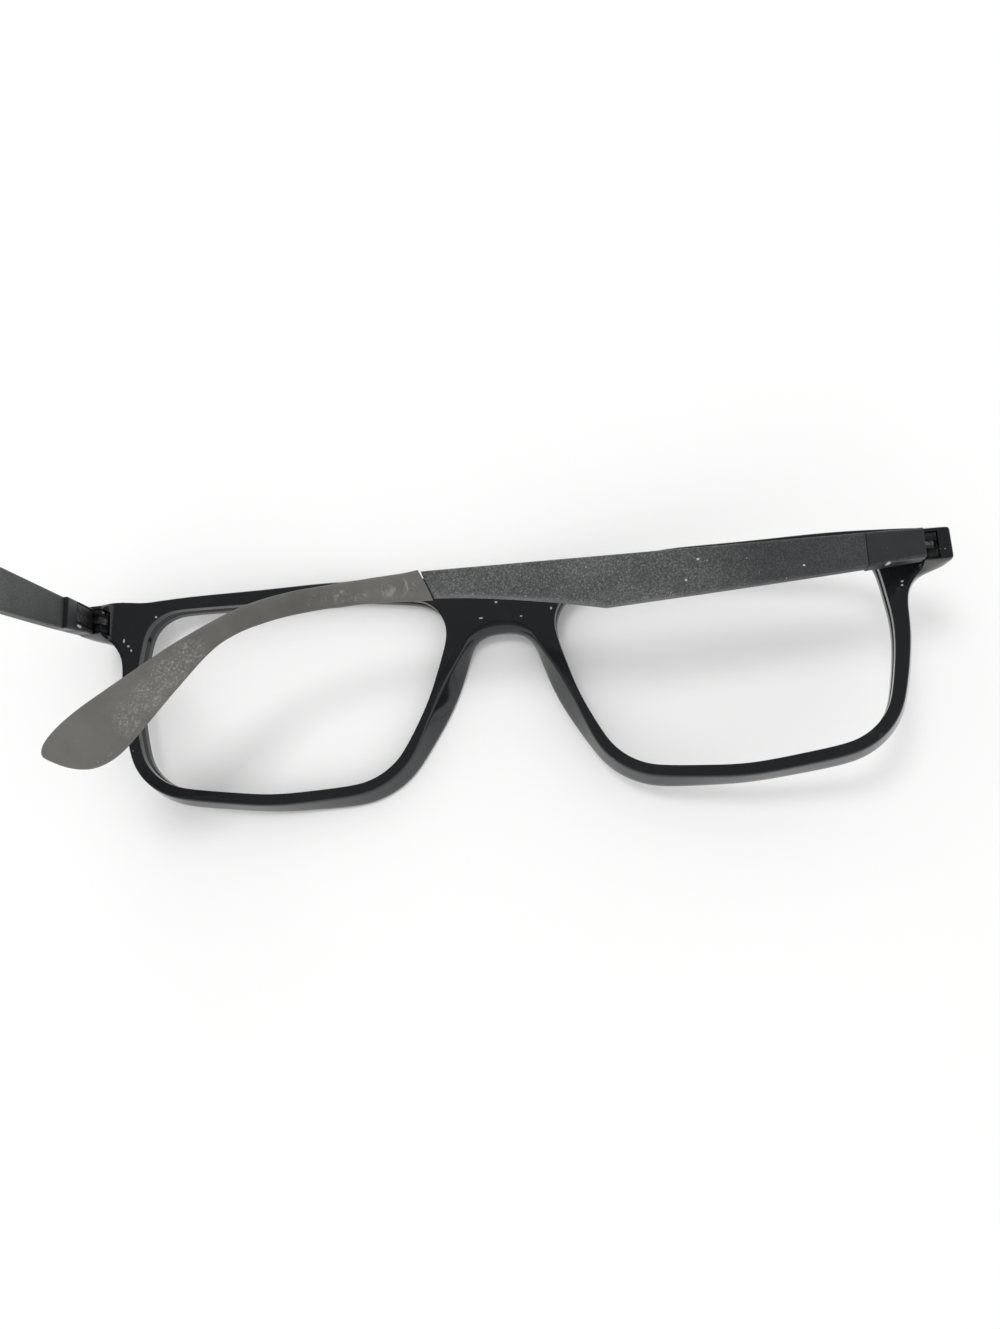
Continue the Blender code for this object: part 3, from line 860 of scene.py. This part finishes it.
def startGroup(name, inputs, outputs=("Mask",), kind="Float"):
    tree = bpy.data.node_groups.new(name, "ShaderNodeTree")
    tree.interface.new_socket("Place", in_out="INPUT", socket_type="NodeSocketVector")
    for title in inputs:
        tree.interface.new_socket(title, in_out="INPUT", socket_type="NodeSocket" + kind)
    for title in outputs:
        tree.interface.new_socket(title, in_out="OUTPUT", socket_type="NodeSocketFloat")
    return tree, tree.nodes.new("NodeGroupInput").outputs, tree.nodes.new("NodeGroupOutput").inputs


grainShape = {
    "detail": 3.0,
    "rough": 0.6,
    "round": (0.15, 0.75),
    "roundShare": 0.5,
    "brightOnes": (0.8, 0.95),
}


def makeGrain():
    # fine round grain, as of a sprayed or blasted coat, and its few bright grains
    tree, given, out = startGroup("fineGrain", ("Size",), ("Height", "Bright"))
    shape = grainShape
    scale = math(tree, "DIVIDE", 1.0, given["Size"])
    soft = noiseAt(tree, given["Place"], scale, shape["detail"], shape["rough"])
    distance, pick = cellsAt(tree, given["Place"], scale)
    dome = between(tree, distance, *shape["round"], 1.0, 0.0)
    feed(tree, out["Height"], math(tree, "MULTIPLY_ADD", dome, shape["roundShare"], soft))
    feed(tree, out["Bright"], times(tree, between(tree, pick["Red"], *shape["brightOnes"]), dome))
    return tree


blotchShape = {
    "detail": 4.0,
    "rough": 0.55,
    "ends": (0.3, 0.7),
}


def makeBlotch():
    # slow change over a face
    tree, given, out = startGroup("blotch", ("Size",), ("Value",))
    shape = blotchShape
    scale = math(tree, "DIVIDE", 1.0, given["Size"])
    cloud = noiseAt(tree, given["Place"], scale, shape["detail"], shape["rough"])
    feed(tree, out["Value"], between(tree, cloud, *shape["ends"]))
    return tree


dustShape = {
    "smallest": 0.03,  # of the spacing
    "growth": 0.1,
    "soft": (0.6, 1.0),
    "lies": (0.1, 0.6),  # dust stays where the surface looks up this much
}


def makeDust():
    # small pale specks here and there on faces that look up
    tree, given, out = startGroup("dustSpecks", ("Spacing", "Amount"))
    shape = dustShape
    distance, pick = cellsAt(tree, given["Place"], math(tree, "DIVIDE", 1.0, given["Spacing"]))
    chosen = math(tree, "LESS_THAN", pick["Green"], given["Amount"])
    reach = math(tree, "MULTIPLY_ADD", pick["Blue"], shape["growth"], shape["smallest"])
    inside = between(tree, math(tree, "DIVIDE", distance, reach), *shape["soft"], 1.0, 0.0)
    normal = addNode(tree, "NewGeometry").outputs["Normal"]
    up = addNode(tree, "SeparateXYZ", {"Vector": normal}).outputs["Z"]
    feed(tree, out["Mask"], times(tree, chosen, inside, between(tree, up, *shape["lies"])))
    return tree


patchSoft = (0.45, 1.0)


def makePatch():
    # a soft oval at a place
    tree, given, out = startGroup("patchAt", ("Centre", "Size"), kind="Vector")
    away = addNode(tree, "VectorMath", {0: given["Place"], 1: given["Centre"]}, operation="SUBTRACT")
    share = addNode(tree, "VectorMath", {0: away.outputs[0], 1: given["Size"]}, operation="DIVIDE")
    far = addNode(tree, "VectorMath", {0: share.outputs[0]}, operation="LENGTH").outputs["Value"]
    feed(tree, out["Mask"], between(tree, far, *patchSoft, 1.0, 0.0))
    return tree


scratchShape = {
    "turns": (0.35, 2.2),
    "stretch": (0.12, 5, 5),
    "scale": 1.6,
    "detail": 2.0,
    "rough": 0.5,
    "middle": 0.5,  # a line runs where the noise crosses this
    "wide": 0.012,
    "patchScale": 0.12,
    "patchEnds": (0.5, 0.7),
}


def makeScratches():
    # hairline scratches in two directions
    tree, given, out = startGroup("hairScratches", ("Amount",))
    shape = scratchShape
    lines = []
    for turn in shape["turns"]:
        inputs = {"Vector": given["Place"], "Rotation": (0, 0, turn), "Scale": shape["stretch"]}
        along = addNode(tree, "Mapping", inputs).outputs[0]
        wave = noiseAt(tree, along, shape["scale"], shape["detail"], shape["rough"])
        middle = math(tree, "ABSOLUTE", math(tree, "SUBTRACT", wave, shape["middle"]))
        lines.append(between(tree, middle, 0.0, shape["wide"], 1.0, 0.0))
    patchy = noiseAt(tree, given["Place"], shape["patchScale"], shape["detail"], shape["rough"])
    shown = between(tree, patchy, *shape["patchEnds"])
    feed(tree, out["Mask"], times(tree, math(tree, "MAXIMUM", *lines), shown, given["Amount"]))
    return tree


wearShape = {
    "sharp": (0.52, 0.6),
    "scale": 1.4,
    "detail": 5.0,
    "rough": 0.65,
    "broken": (0.42, 0.62),
}


def makeEdgeWear():
    # paler where an edge stands out, broken up by noise
    tree, given, out = startGroup("edgeWear", ("Amount",))
    shape = wearShape
    sharp = between(tree, addNode(tree, "NewGeometry").outputs["Pointiness"], *shape["sharp"])
    rub = noiseAt(tree, given["Place"], shape["scale"], shape["detail"], shape["rough"])
    feed(tree, out["Mask"], times(tree, sharp, between(tree, rub, *shape["broken"]), given["Amount"]))
    return tree


def useGroup(tree, name, inputs):
    made = tree.nodes.new("ShaderNodeGroup")
    made.node_tree = effects[name]
    for title, value in inputs.items():
        feed(tree, made.inputs[title], value)
    return made.outputs


def clouded(tree, place, size):
    return useGroup(tree, "blotch", {"Place": place, "Size": size})["Value"]


def grained(tree, place, size):
    return useGroup(tree, "fineGrain", {"Place": place, "Size": size})


# these three give a mask and how much of it shows
def scratched(tree, place, look):
    amount, show = look["scratches"]
    return useGroup(tree, "hairScratches", {"Place": place, "Amount": amount})["Mask"], show


def dusted(tree, place, look):
    spacing, amount, show = look["dust"]
    return useGroup(tree, "dustSpecks", {"Place": place, "Spacing": spacing, "Amount": amount})["Mask"], show


def edgeWorn(tree, place, look):
    amount, show = look["wear"]
    return useGroup(tree, "edgeWear", {"Place": place, "Amount": amount})["Mask"], show


def addPatches(tree, place, spots):
    # the largest of the masks of some ovals
    mask = None
    for centre, size in spots:
        one = useGroup(tree, "patchAt", {"Place": place, "Centre": centre, "Size": size})["Mask"]
        mask = one if mask is None else math(tree, "MAXIMUM", mask, one)
    return mask


def ownPlace(tree, place):
    # the piece's own frame in mm
    back = (place @ Matrix.Scale(mm, 4)).inverted()
    turn = back.to_3x3().normalized().to_euler()
    spot = addNode(tree, "TexCoord").outputs["Object"]
    inputs = {"Vector": spot, "Location": back.translation, "Rotation": turn, "Scale": (1 / mm,) * 3}
    return addNode(tree, "Mapping", inputs, vector_type="POINT").outputs[0]


def alongOf(tree, place):
    return addNode(tree, "SeparateXYZ", {"Vector": place}).outputs["Z"]


def startMaterial(name, look, pieceFrame):
    mat = bpy.data.materials.new(name)
    mat.use_nodes = True
    tree = mat.node_tree
    for title, value in look["shader"].items():
        tree.nodes["Principled BSDF"].inputs[title].default_value = value
    return mat, tree, ownPlace(tree, pieceFrame)


def finishLook(mat, look, color, rough, height):
    # the bump is given by its depth in mm and its strength
    tree = mat.node_tree
    inputs = tree.nodes["Principled BSDF"].inputs
    feed(tree, inputs["Base Color"], color)
    feed(tree, inputs["Roughness"], rough)
    depth, strength = look["bump"]
    bump = addNode(tree, "Bump", {"Height": height, "Distance": depth * mm, "Strength": strength})
    feed(tree, inputs["Normal"], bump.outputs["Normal"])
    return mat


glossBlack = {
    "shader": {"IOR": 1.5, "Coat Weight": 0.25, "Coat Roughness": 0.06},
    "color": (0.0085, 0.0095, 0.0115),
    "warmGlow": (0.02, 0.011, 0.006),  # painted light: a faint brown glow painted at two spots of the thin top rim by the bridge, where light comes through the moulding
    "warmGlowShow": 0.35,
    "warmSpots": (((-15.0, 18.5, 1.0), (9.0, 5.0, 4.0)), ((15.0, 18.0, 1.0), (8.0, 4.0, 4.0))),
    "pale": (0.4, 0.4, 0.38),
    "haze": 7.0,
    "grain": 0.35,
    "grainInBump": 0.03,
    "scratches": (0.55, 0.1),
    "dust": (1.1, 0.1, 0.5),  # spacing, amount, and what shows of it
    "wear": (0.25, 0.2),
    "rough": (0.06, 0.17),
    "dullMarks": 0.4,
    "bump": (0.02, 0.5),
    # painted highlights: pale lamp glints painted at the listed spots on the bridge and both endpieces;
    # their colour, a cloud that varies how strongly each shows, and the spots as centre and size in mm
    "paleSpot": (0.62, 0.62, 0.6),
    "glintCloud": 0.3,
    "glintCloudEnds": (0.0, 0.8),
    "glintCloudShow": (0.25, 0.8),
    "clearSpots": (
        ((-0.54, 15.42, 0.3), (0.35, 0.22, 0.6)),
        ((-3.35, 12.71, 0.3), (0.5, 0.2, 0.6)),
        ((3.82, 12.4, 0.3), (0.3, 0.2, 0.6)),
        ((9.23, 13.27, 0.5), (0.25, 0.35, 0.6)),
        ((65.64, 8.89, 10.4), (0.28, 0.22, 0.6)),
        ((65.56, 8.25, 10.4), (0.22, 0.2, 0.6)),
        ((-60.89, 15.55, 9.1), (0.25, 0.25, 0.6)),
        ((-65.98, 11.08, 10.5), (0.2, 0.5, 0.6)),
        ((-65.2, 10.1, 10.3), (0.3, 0.25, 0.6)),
        ((-64.7, 9.3, 10.1), (0.18, 0.3, 0.6)),
    ),
}


def polishedBlack():
    look = glossBlack
    mat, tree, place = startMaterial("polishedBlack", look, lying)
    haze = clouded(tree, place, look["haze"])
    grain = grained(tree, place, look["grain"])
    scratch = scratched(tree, place, look)
    dust = dusted(tree, place, look)
    # painted light: the faint brown glow at the two spots by the bridge
    warmGlow = times(tree, addPatches(tree, place, look["warmSpots"]), look["warmGlowShow"])
    color = mixed(tree, warmGlow, look["color"], look["warmGlow"])
    pale = largest(tree, dust, scratch, edgeWorn(tree, place, look))
    color = mixed(tree, pale, color, look["pale"])
    # painted highlights: the lamp glints, in the pale colour, their strength varied by a cloud
    glintCloud = between(tree, clouded(tree, place, look["glintCloud"]), *look["glintCloudEnds"], *look["glintCloudShow"])
    spots = times(tree, addPatches(tree, place, look["clearSpots"]), glintCloud)
    color = mixed(tree, spots, color, look["paleSpot"])
    dull = times(tree, math(tree, "MAXIMUM", dust[0], scratch[0]), look["dullMarks"])
    rough = math(tree, "MAXIMUM", between(tree, haze, 0.0, 1.0, *look["rough"]), dull)
    height = math(tree, "ADD", haze, times(tree, grain["Height"], look["grainInBump"]))
    return finishLook(mat, look, color, rough, height)


satinBlack = {
    "shader": {"IOR": 1.48},
    "color": (0.02, 0.021, 0.024),
    "worn": (0.13, 0.13, 0.13),
    "haze": 3.0,
    "grain": 0.14,
    "grainShow": 0.12,
    "scratches": (0.5, 0.15),
    "dust": (0.9, 0.08, 1.0),
    "wear": (0.7, 0.5),
    "rough": (0.32, 0.46),
    "bump": (0.006, 0.7),
    # painted highlights: the pale colour, used for the dust and for a small lamp glint painted on each hinge
    # block, and the glint spots, right and left
    "paleSpot": (0.55, 0.55, 0.52),
    "rightSpots": (((2.77, -3.25, 7.17), (1.0, 0.5, 0.5)),),
    "leftSpots": (((-0.45, -2.3, 6.3), (0.5, 0.3, 1.0)),),
}


def satinBlock(word):
    look = satinBlack
    mat, tree, place = startMaterial(word + "SatinBlack", look, templePlace(word))
    grain = grained(tree, place, look["grain"])
    # painted highlight: the lamp glint spot on the block
    spotMask = (addPatches(tree, place, look[word + "Spots"]), 1.0)
    pale = largest(tree, edgeWorn(tree, place, look), scratched(tree, place, look),
                   (grain["Bright"], look["grainShow"]))
    color = mixed(tree, pale, look["color"], look["worn"])
    # the painted glint and the dust take the pale colour
    color = mixed(tree, largest(tree, spotMask, dusted(tree, place, look)), color, look["paleSpot"])
    rough = between(tree, clouded(tree, place, look["haze"]), 0.0, 1.0, *look["rough"])
    return finishLook(mat, look, color, rough, grain["Height"])


grainedGrey = {
    "shader": {"Metallic": 0.35},
    "dark": (0.021, 0.022, 0.024),
    "light": (0.163, 0.165, 0.166),
    "bright": (0.4, 0.4, 0.39),
    "grain": 0.28,
    "fineGrain": 0.14,
    "grainLeft": 0.35,  # what is left of the grain at the worn smooth end
    "smoothEnd": (14.0, 52.0),  # along it the grain goes from worn smooth to full
    "cloud": 6.0,
    "cloudShow": (0.75, 1.05),
    "sparkleShow": 0.4,
    "scratches": (0.6, 0.2),
    "dust": (1.2, 0.07, 1.0),
    "wear": (0.8, 0.35),
    "rough": (0.5, 0.28),
    "bump": (0.05, 0.9),
    "paleSpot": (0.6, 0.6, 0.57),
    "markSpots": (
        ((3.4, -0.88, 35.61), (0.5, 0.22, 0.3)),
        ((3.4, -4.08, 37.69), (0.5, 0.25, 0.25)),
        ((3.4, -2.78, 19.85), (0.5, 0.2, 0.25)),
    ),
}


def grainedMetal(word):
    look = grainedGrey
    mat, tree, place = startMaterial(word + "GrainedGrey", look, templePlace(word))
    full = between(tree, alongOf(tree, place), *look["smoothEnd"])
    grain = grained(tree, place, look["grain"])
    fine = grained(tree, place, look["fineGrain"])
    height = times(tree, grain["Height"], between(tree, full, 0.0, 1.0, look["grainLeft"], 1.0))
    cloud = between(tree, clouded(tree, place, look["cloud"]), 0.0, 1.0, *look["cloudShow"])
    color = mixed(tree, times(tree, height, cloud), look["dark"], look["light"])
    sparkle = times(tree, math(tree, "MAXIMUM", grain["Bright"], fine["Bright"]), full)
    pale = largest(tree, (sparkle, look["sparkleShow"]), edgeWorn(tree, place, look),
                   scratched(tree, place, look))
    color = mixed(tree, pale, color, look["bright"])
    spotMask = (addPatches(tree, place, look["markSpots"]), 1.0)
    color = mixed(tree, largest(tree, spotMask, dusted(tree, place, look)), color, look["paleSpot"])
    return finishLook(mat, look, color, between(tree, sparkle, 0.0, 1.0, *look["rough"]), height)


blackened = {
    "shader": {"Metallic": 0.8},
    "color": (0.02, 0.02, 0.022),
    "bare": (0.2, 0.195, 0.185),
    "cloud": 1.2,
    "cloudShow": 0.06,
    "grain": 0.1,
    "scratches": (0.8, 0.25),
    "wear": (1.0, 0.6),
    "rough": (0.3, 0.5),
    "bump": (0.005, 0.6),
}


def blackenedMetal(name, pieceFrame):
    look = blackened
    mat, tree, place = startMaterial(name, look, pieceFrame)
    cloud = clouded(tree, place, look["cloud"])
    pale = largest(tree, edgeWorn(tree, place, look), scratched(tree, place, look),
                   (cloud, look["cloudShow"]))
    color = mixed(tree, pale, look["color"], look["bare"])
    height = grained(tree, place, look["grain"])["Height"]
    return finishLook(mat, look, color, between(tree, cloud, 0.0, 1.0, *look["rough"]), height)


turnedSteel = {
    "shader": {"Metallic": 1.0},
    "color": (0.3, 0.3, 0.3),
    "dull": (0.1, 0.09, 0.08),
    "dullShow": 0.5,
    "cloud": 0.5,
    "lines": 14.0,
    "waver": 0.4,
    "rough": (0.25, 0.45),
    "bump": (0.004, 0.5),
}


def turnedMetal(word):
    look = turnedSteel
    mat, tree, place = startMaterial(word + "TurnedSteel", look, hingePlace(word))
    # the lathe's rings about the screw's own axis
    rings = addNode(tree, "TexWave", {"Vector": place, "Scale": look["lines"], "Distortion": look["waver"]},
                    wave_type="RINGS", rings_direction="Y").outputs["Fac"]
    cloud = clouded(tree, place, look["cloud"])
    color = mixed(tree, times(tree, cloud, look["dullShow"]), look["color"], look["dull"])
    return finishLook(mat, look, color, between(tree, cloud, 0.0, 1.0, *look["rough"]), rings)


oliveRubber = {
    "shader": {"IOR": 1.45},
    "color": (0.088, 0.087, 0.08),
    "light": (0.15, 0.146, 0.134),
    "rubbed": (0.31, 0.305, 0.285),
    "white": (0.7, 0.7, 0.67),
    "cloud": 5.0,
    "cloudShow": 0.35,
    "nearMouth": (84.0, 98.0),  # along it the lighter rubber of the mouth fades out
    "nearShow": 0.35,
    "dulled": (96.0, 128.0),  # and towards the tip it is dulled to a paler grey
    "dulledShow": 0.65,
    "grain": 0.12,
    "pores": 0.3,
    "poresInBump": 0.5,
    "crease": {"scale": 1 / 1.1, "detail": 5.0, "rough": 0.7, "distortion": 0.6},
    "creaseStretch": (0.5, 0.5, 1.0),
    "creaseInBump": 6.0,
    "ridge": (0.5, 0.64),
    "ridgeShow": 0.55,
    "speckle": {"scale": 2.2, "detail": 6.0, "rough": 0.8},
    "speckleEnds": (0.44, 0.66),
    "speckleShow": 0.75,
    "fleckEnds": (0.6, 0.7),
    "fleckShow": 0.55,
    "dust": (0.8, 0.16, 0.4),
    "scratches": (0.8, 0.2),
    "wear": (0.6, 0.3),
    "wornShine": 0.7,
    "rough": (0.62, 0.34),  # rubbed rubber shines
    "bump": (0.03, 0.7),
    "mouthSpots": (
        ((3.8, -2.9, 81.5), (2.2, 1.9, 4.6)),
        ((3.8, -3.6, 90.0), (2.2, 1.2, 6.0)),
    ),
    "wornSpots": (
        ((3.6, -11.2, 113.4), (3.0, 2.6, 3.4)),
        ((3.6, -14.2, 116.6), (3.0, 3.4, 4.0)),
        ((3.6, -17.4, 119.6), (3.0, 3.4, 3.6)),
        ((3.5, -20.6, 122.6), (3.0, 3.6, 3.0)),
    ),
}


def rubber(word):
    look = oliveRubber
    side = sideOf(word)
    mat, tree, place = startMaterial(word + "OliveRubber", look, templePlace(word))

    def spots(rows):
        return addPatches(tree, place, [((side * c[0], c[1], c[2]), size) for c, size in rows])

    mouth = spots(look["mouthSpots"])
    worn = spots(look["wornSpots"])
    along = alongOf(tree, place)
    near = times(tree, between(tree, along, *look["nearMouth"], 1.0, 0.0), look["nearShow"])
    dulled = times(tree, between(tree, along, *look["dulled"]), look["dulledShow"])
    cloud = clouded(tree, place, look["cloud"])
    share = math(tree, "MULTIPLY_ADD", cloud, look["cloudShow"], math(tree, "ADD", near, dulled))
    color = mixed(tree, share, look["color"], look["light"])
    # cracks and creases that run across by the mouth
    stretched = addNode(tree, "Mapping", {"Vector": place, "Scale": look["creaseStretch"]}).outputs[0]
    lines = noiseAt(tree, stretched, **look["crease"])
    flaked = times(tree, mouth, between(tree, lines, *look["ridge"]))
    spotty = noiseAt(tree, place, **look["speckle"])
    speckle = times(tree, worn, between(tree, spotty, *look["speckleEnds"]))
    rubbed = largest(tree, (flaked, look["ridgeShow"]), (speckle, look["speckleShow"]),
                     edgeWorn(tree, place, look), scratched(tree, place, look))
    color = mixed(tree, rubbed, color, look["rubbed"])
    flecks = times(tree, math(tree, "MAXIMUM", mouth, worn), between(tree, spotty, *look["fleckEnds"]))
    specks = largest(tree, (flecks, look["fleckShow"]), dusted(tree, place, look))
    color = mixed(tree, specks, color, look["white"])
    shine = math(tree, "MAXIMUM", mouth, times(tree, worn, look["wornShine"]))
    fine = math(tree, "ADD", grained(tree, place, look["grain"])["Height"],
                times(tree, grained(tree, place, look["pores"])["Height"], look["poresInBump"]))
    height = math(tree, "MULTIPLY_ADD", times(tree, mouth, lines), look["creaseInBump"], fine)
    return finishLook(mat, look, color, between(tree, shine, 0.0, 1.0, *look["rough"]), height)


effects = {
    "fineGrain": makeGrain(),
    "blotch": makeBlotch(),
    "dustSpecks": makeDust(),
    "patchAt": makePatch(),
    "hairScratches": makeScratches(),
    "edgeWear": makeEdgeWear(),
}
print("materials' effects made")

camera = {
    "place": (15.87, -46.47, 180.64),
    "turn": (15.441, 4.931, -2.036),
    "lens": 28.44,
    "sensor": 36,  # along the photo's long side
    "nearest": 0.005,
}


def addCamera():
    data = bpy.data.cameras.new("camera")
    data.lens = camera["lens"]
    data.sensor_width = camera["sensor"]
    data.sensor_fit = "AUTO"
    data.clip_start = camera["nearest"]
    obj = bpy.data.objects.new("camera", data)
    obj.location = Vector(camera["place"]) * mm
    obj.rotation_euler = [radians(a) for a in camera["turn"]]
    scene.collection.objects.link(obj)
    scene.camera = obj


studio = {
    "floorSize": 1.6,
    "shader": {"Roughness": 0.85},
    "floorColor": (0.96, 0.96, 0.957),
    "floorTint": (0.6, 0.6, 0.58),
    "tintSize": 60.0,
    "tintShow": 0.03,
    "fibre": 0.6,
    "bump": (0.02, 0.3),
    "horizon": 0.88,
    "backdrop": (0.86, 0.86, 0.857),  # seen past the floor's edge, the floor's own far tone
    "overhead": 0.2,  # the gloss shows a dark ceiling behind the camera
    "overheadWay": (-0.25, 0.25, 0.935),
    "overheadEdge": (0.86, 0.6),
    "keyPlace": (-0.2, 0.17, 0.92),
    "keySize": 0.22,
    "keyPower": 2.0,
}


def addStudio():
    bm = bmesh.new()
    bmesh.ops.create_grid(bm, x_segments=1, y_segments=1, size=studio["floorSize"])
    mesh = bpy.data.meshes.new("floor")
    bm.to_mesh(mesh)
    bm.free()
    floor = bpy.data.objects.new("floor", mesh)
    scene.collection.objects.link(floor)
    mat, tree, place = startMaterial("palePaper", studio, Matrix.Identity(4))
    tint = times(tree, clouded(tree, place, studio["tintSize"]), studio["tintShow"])
    color = mixed(tree, tint, studio["floorColor"], studio["floorTint"])
    fibre = grained(tree, place, studio["fibre"])["Height"]
    mesh.materials.append(finishLook(mat, studio, color, studio["shader"]["Roughness"], fibre))

    world = bpy.data.worlds.new("studio")
    world.use_nodes = True
    tree = world.node_tree
    sky = tree.nodes["Background"]
    way = addNode(tree, "TexCoord").outputs["Generated"]
    aim = Vector(studio["overheadWay"]).normalized()
    near = addNode(tree, "VectorMath", {0: way, 1: aim}, operation="DOT_PRODUCT").outputs["Value"]
    inner, outer = studio["overheadEdge"]
    level = between(tree, near, outer, inner, studio["horizon"], studio["overhead"])
    path = addNode(tree, "LightPath").outputs
    light = mixed(tree, path["Is Glossy Ray"], (studio["horizon"],) * 3, level)
    feed(tree, sky.inputs["Color"], mixed(tree, path["Is Camera Ray"], light, studio["backdrop"]))
    scene.world = world

    data = bpy.data.lights.new("key", "AREA")
    data.size = studio["keySize"]
    data.energy = studio["keyPower"]
    key = bpy.data.objects.new("key", data)
    key.location = studio["keyPlace"]
    key.rotation_euler = (-Vector(studio["keyPlace"])).to_track_quat("-Z", "Y").to_euler()
    key.visible_glossy = False
    scene.collection.objects.link(key)


makeFront(polishedBlack())
print("front modelled")
for word in ("right", "left"):
    makeFrontHinge(word, blackenedMetal(word + "ForkBlack", hingePlace(word)))
    makeScrew(word, turnedMetal(word))
    makeTempleHinge(word, blackenedMetal(word + "LeafBlack", templePlace(word)))
    makeBlock(word, satinBlock(word))
    makeBar(word, grainedMetal(word))
    makeSleeve(word, rubber(word))
    print(word, "temple modelled")

addCamera()
addStudio()
print("studio set")
scene.view_settings.view_transform = "Standard"
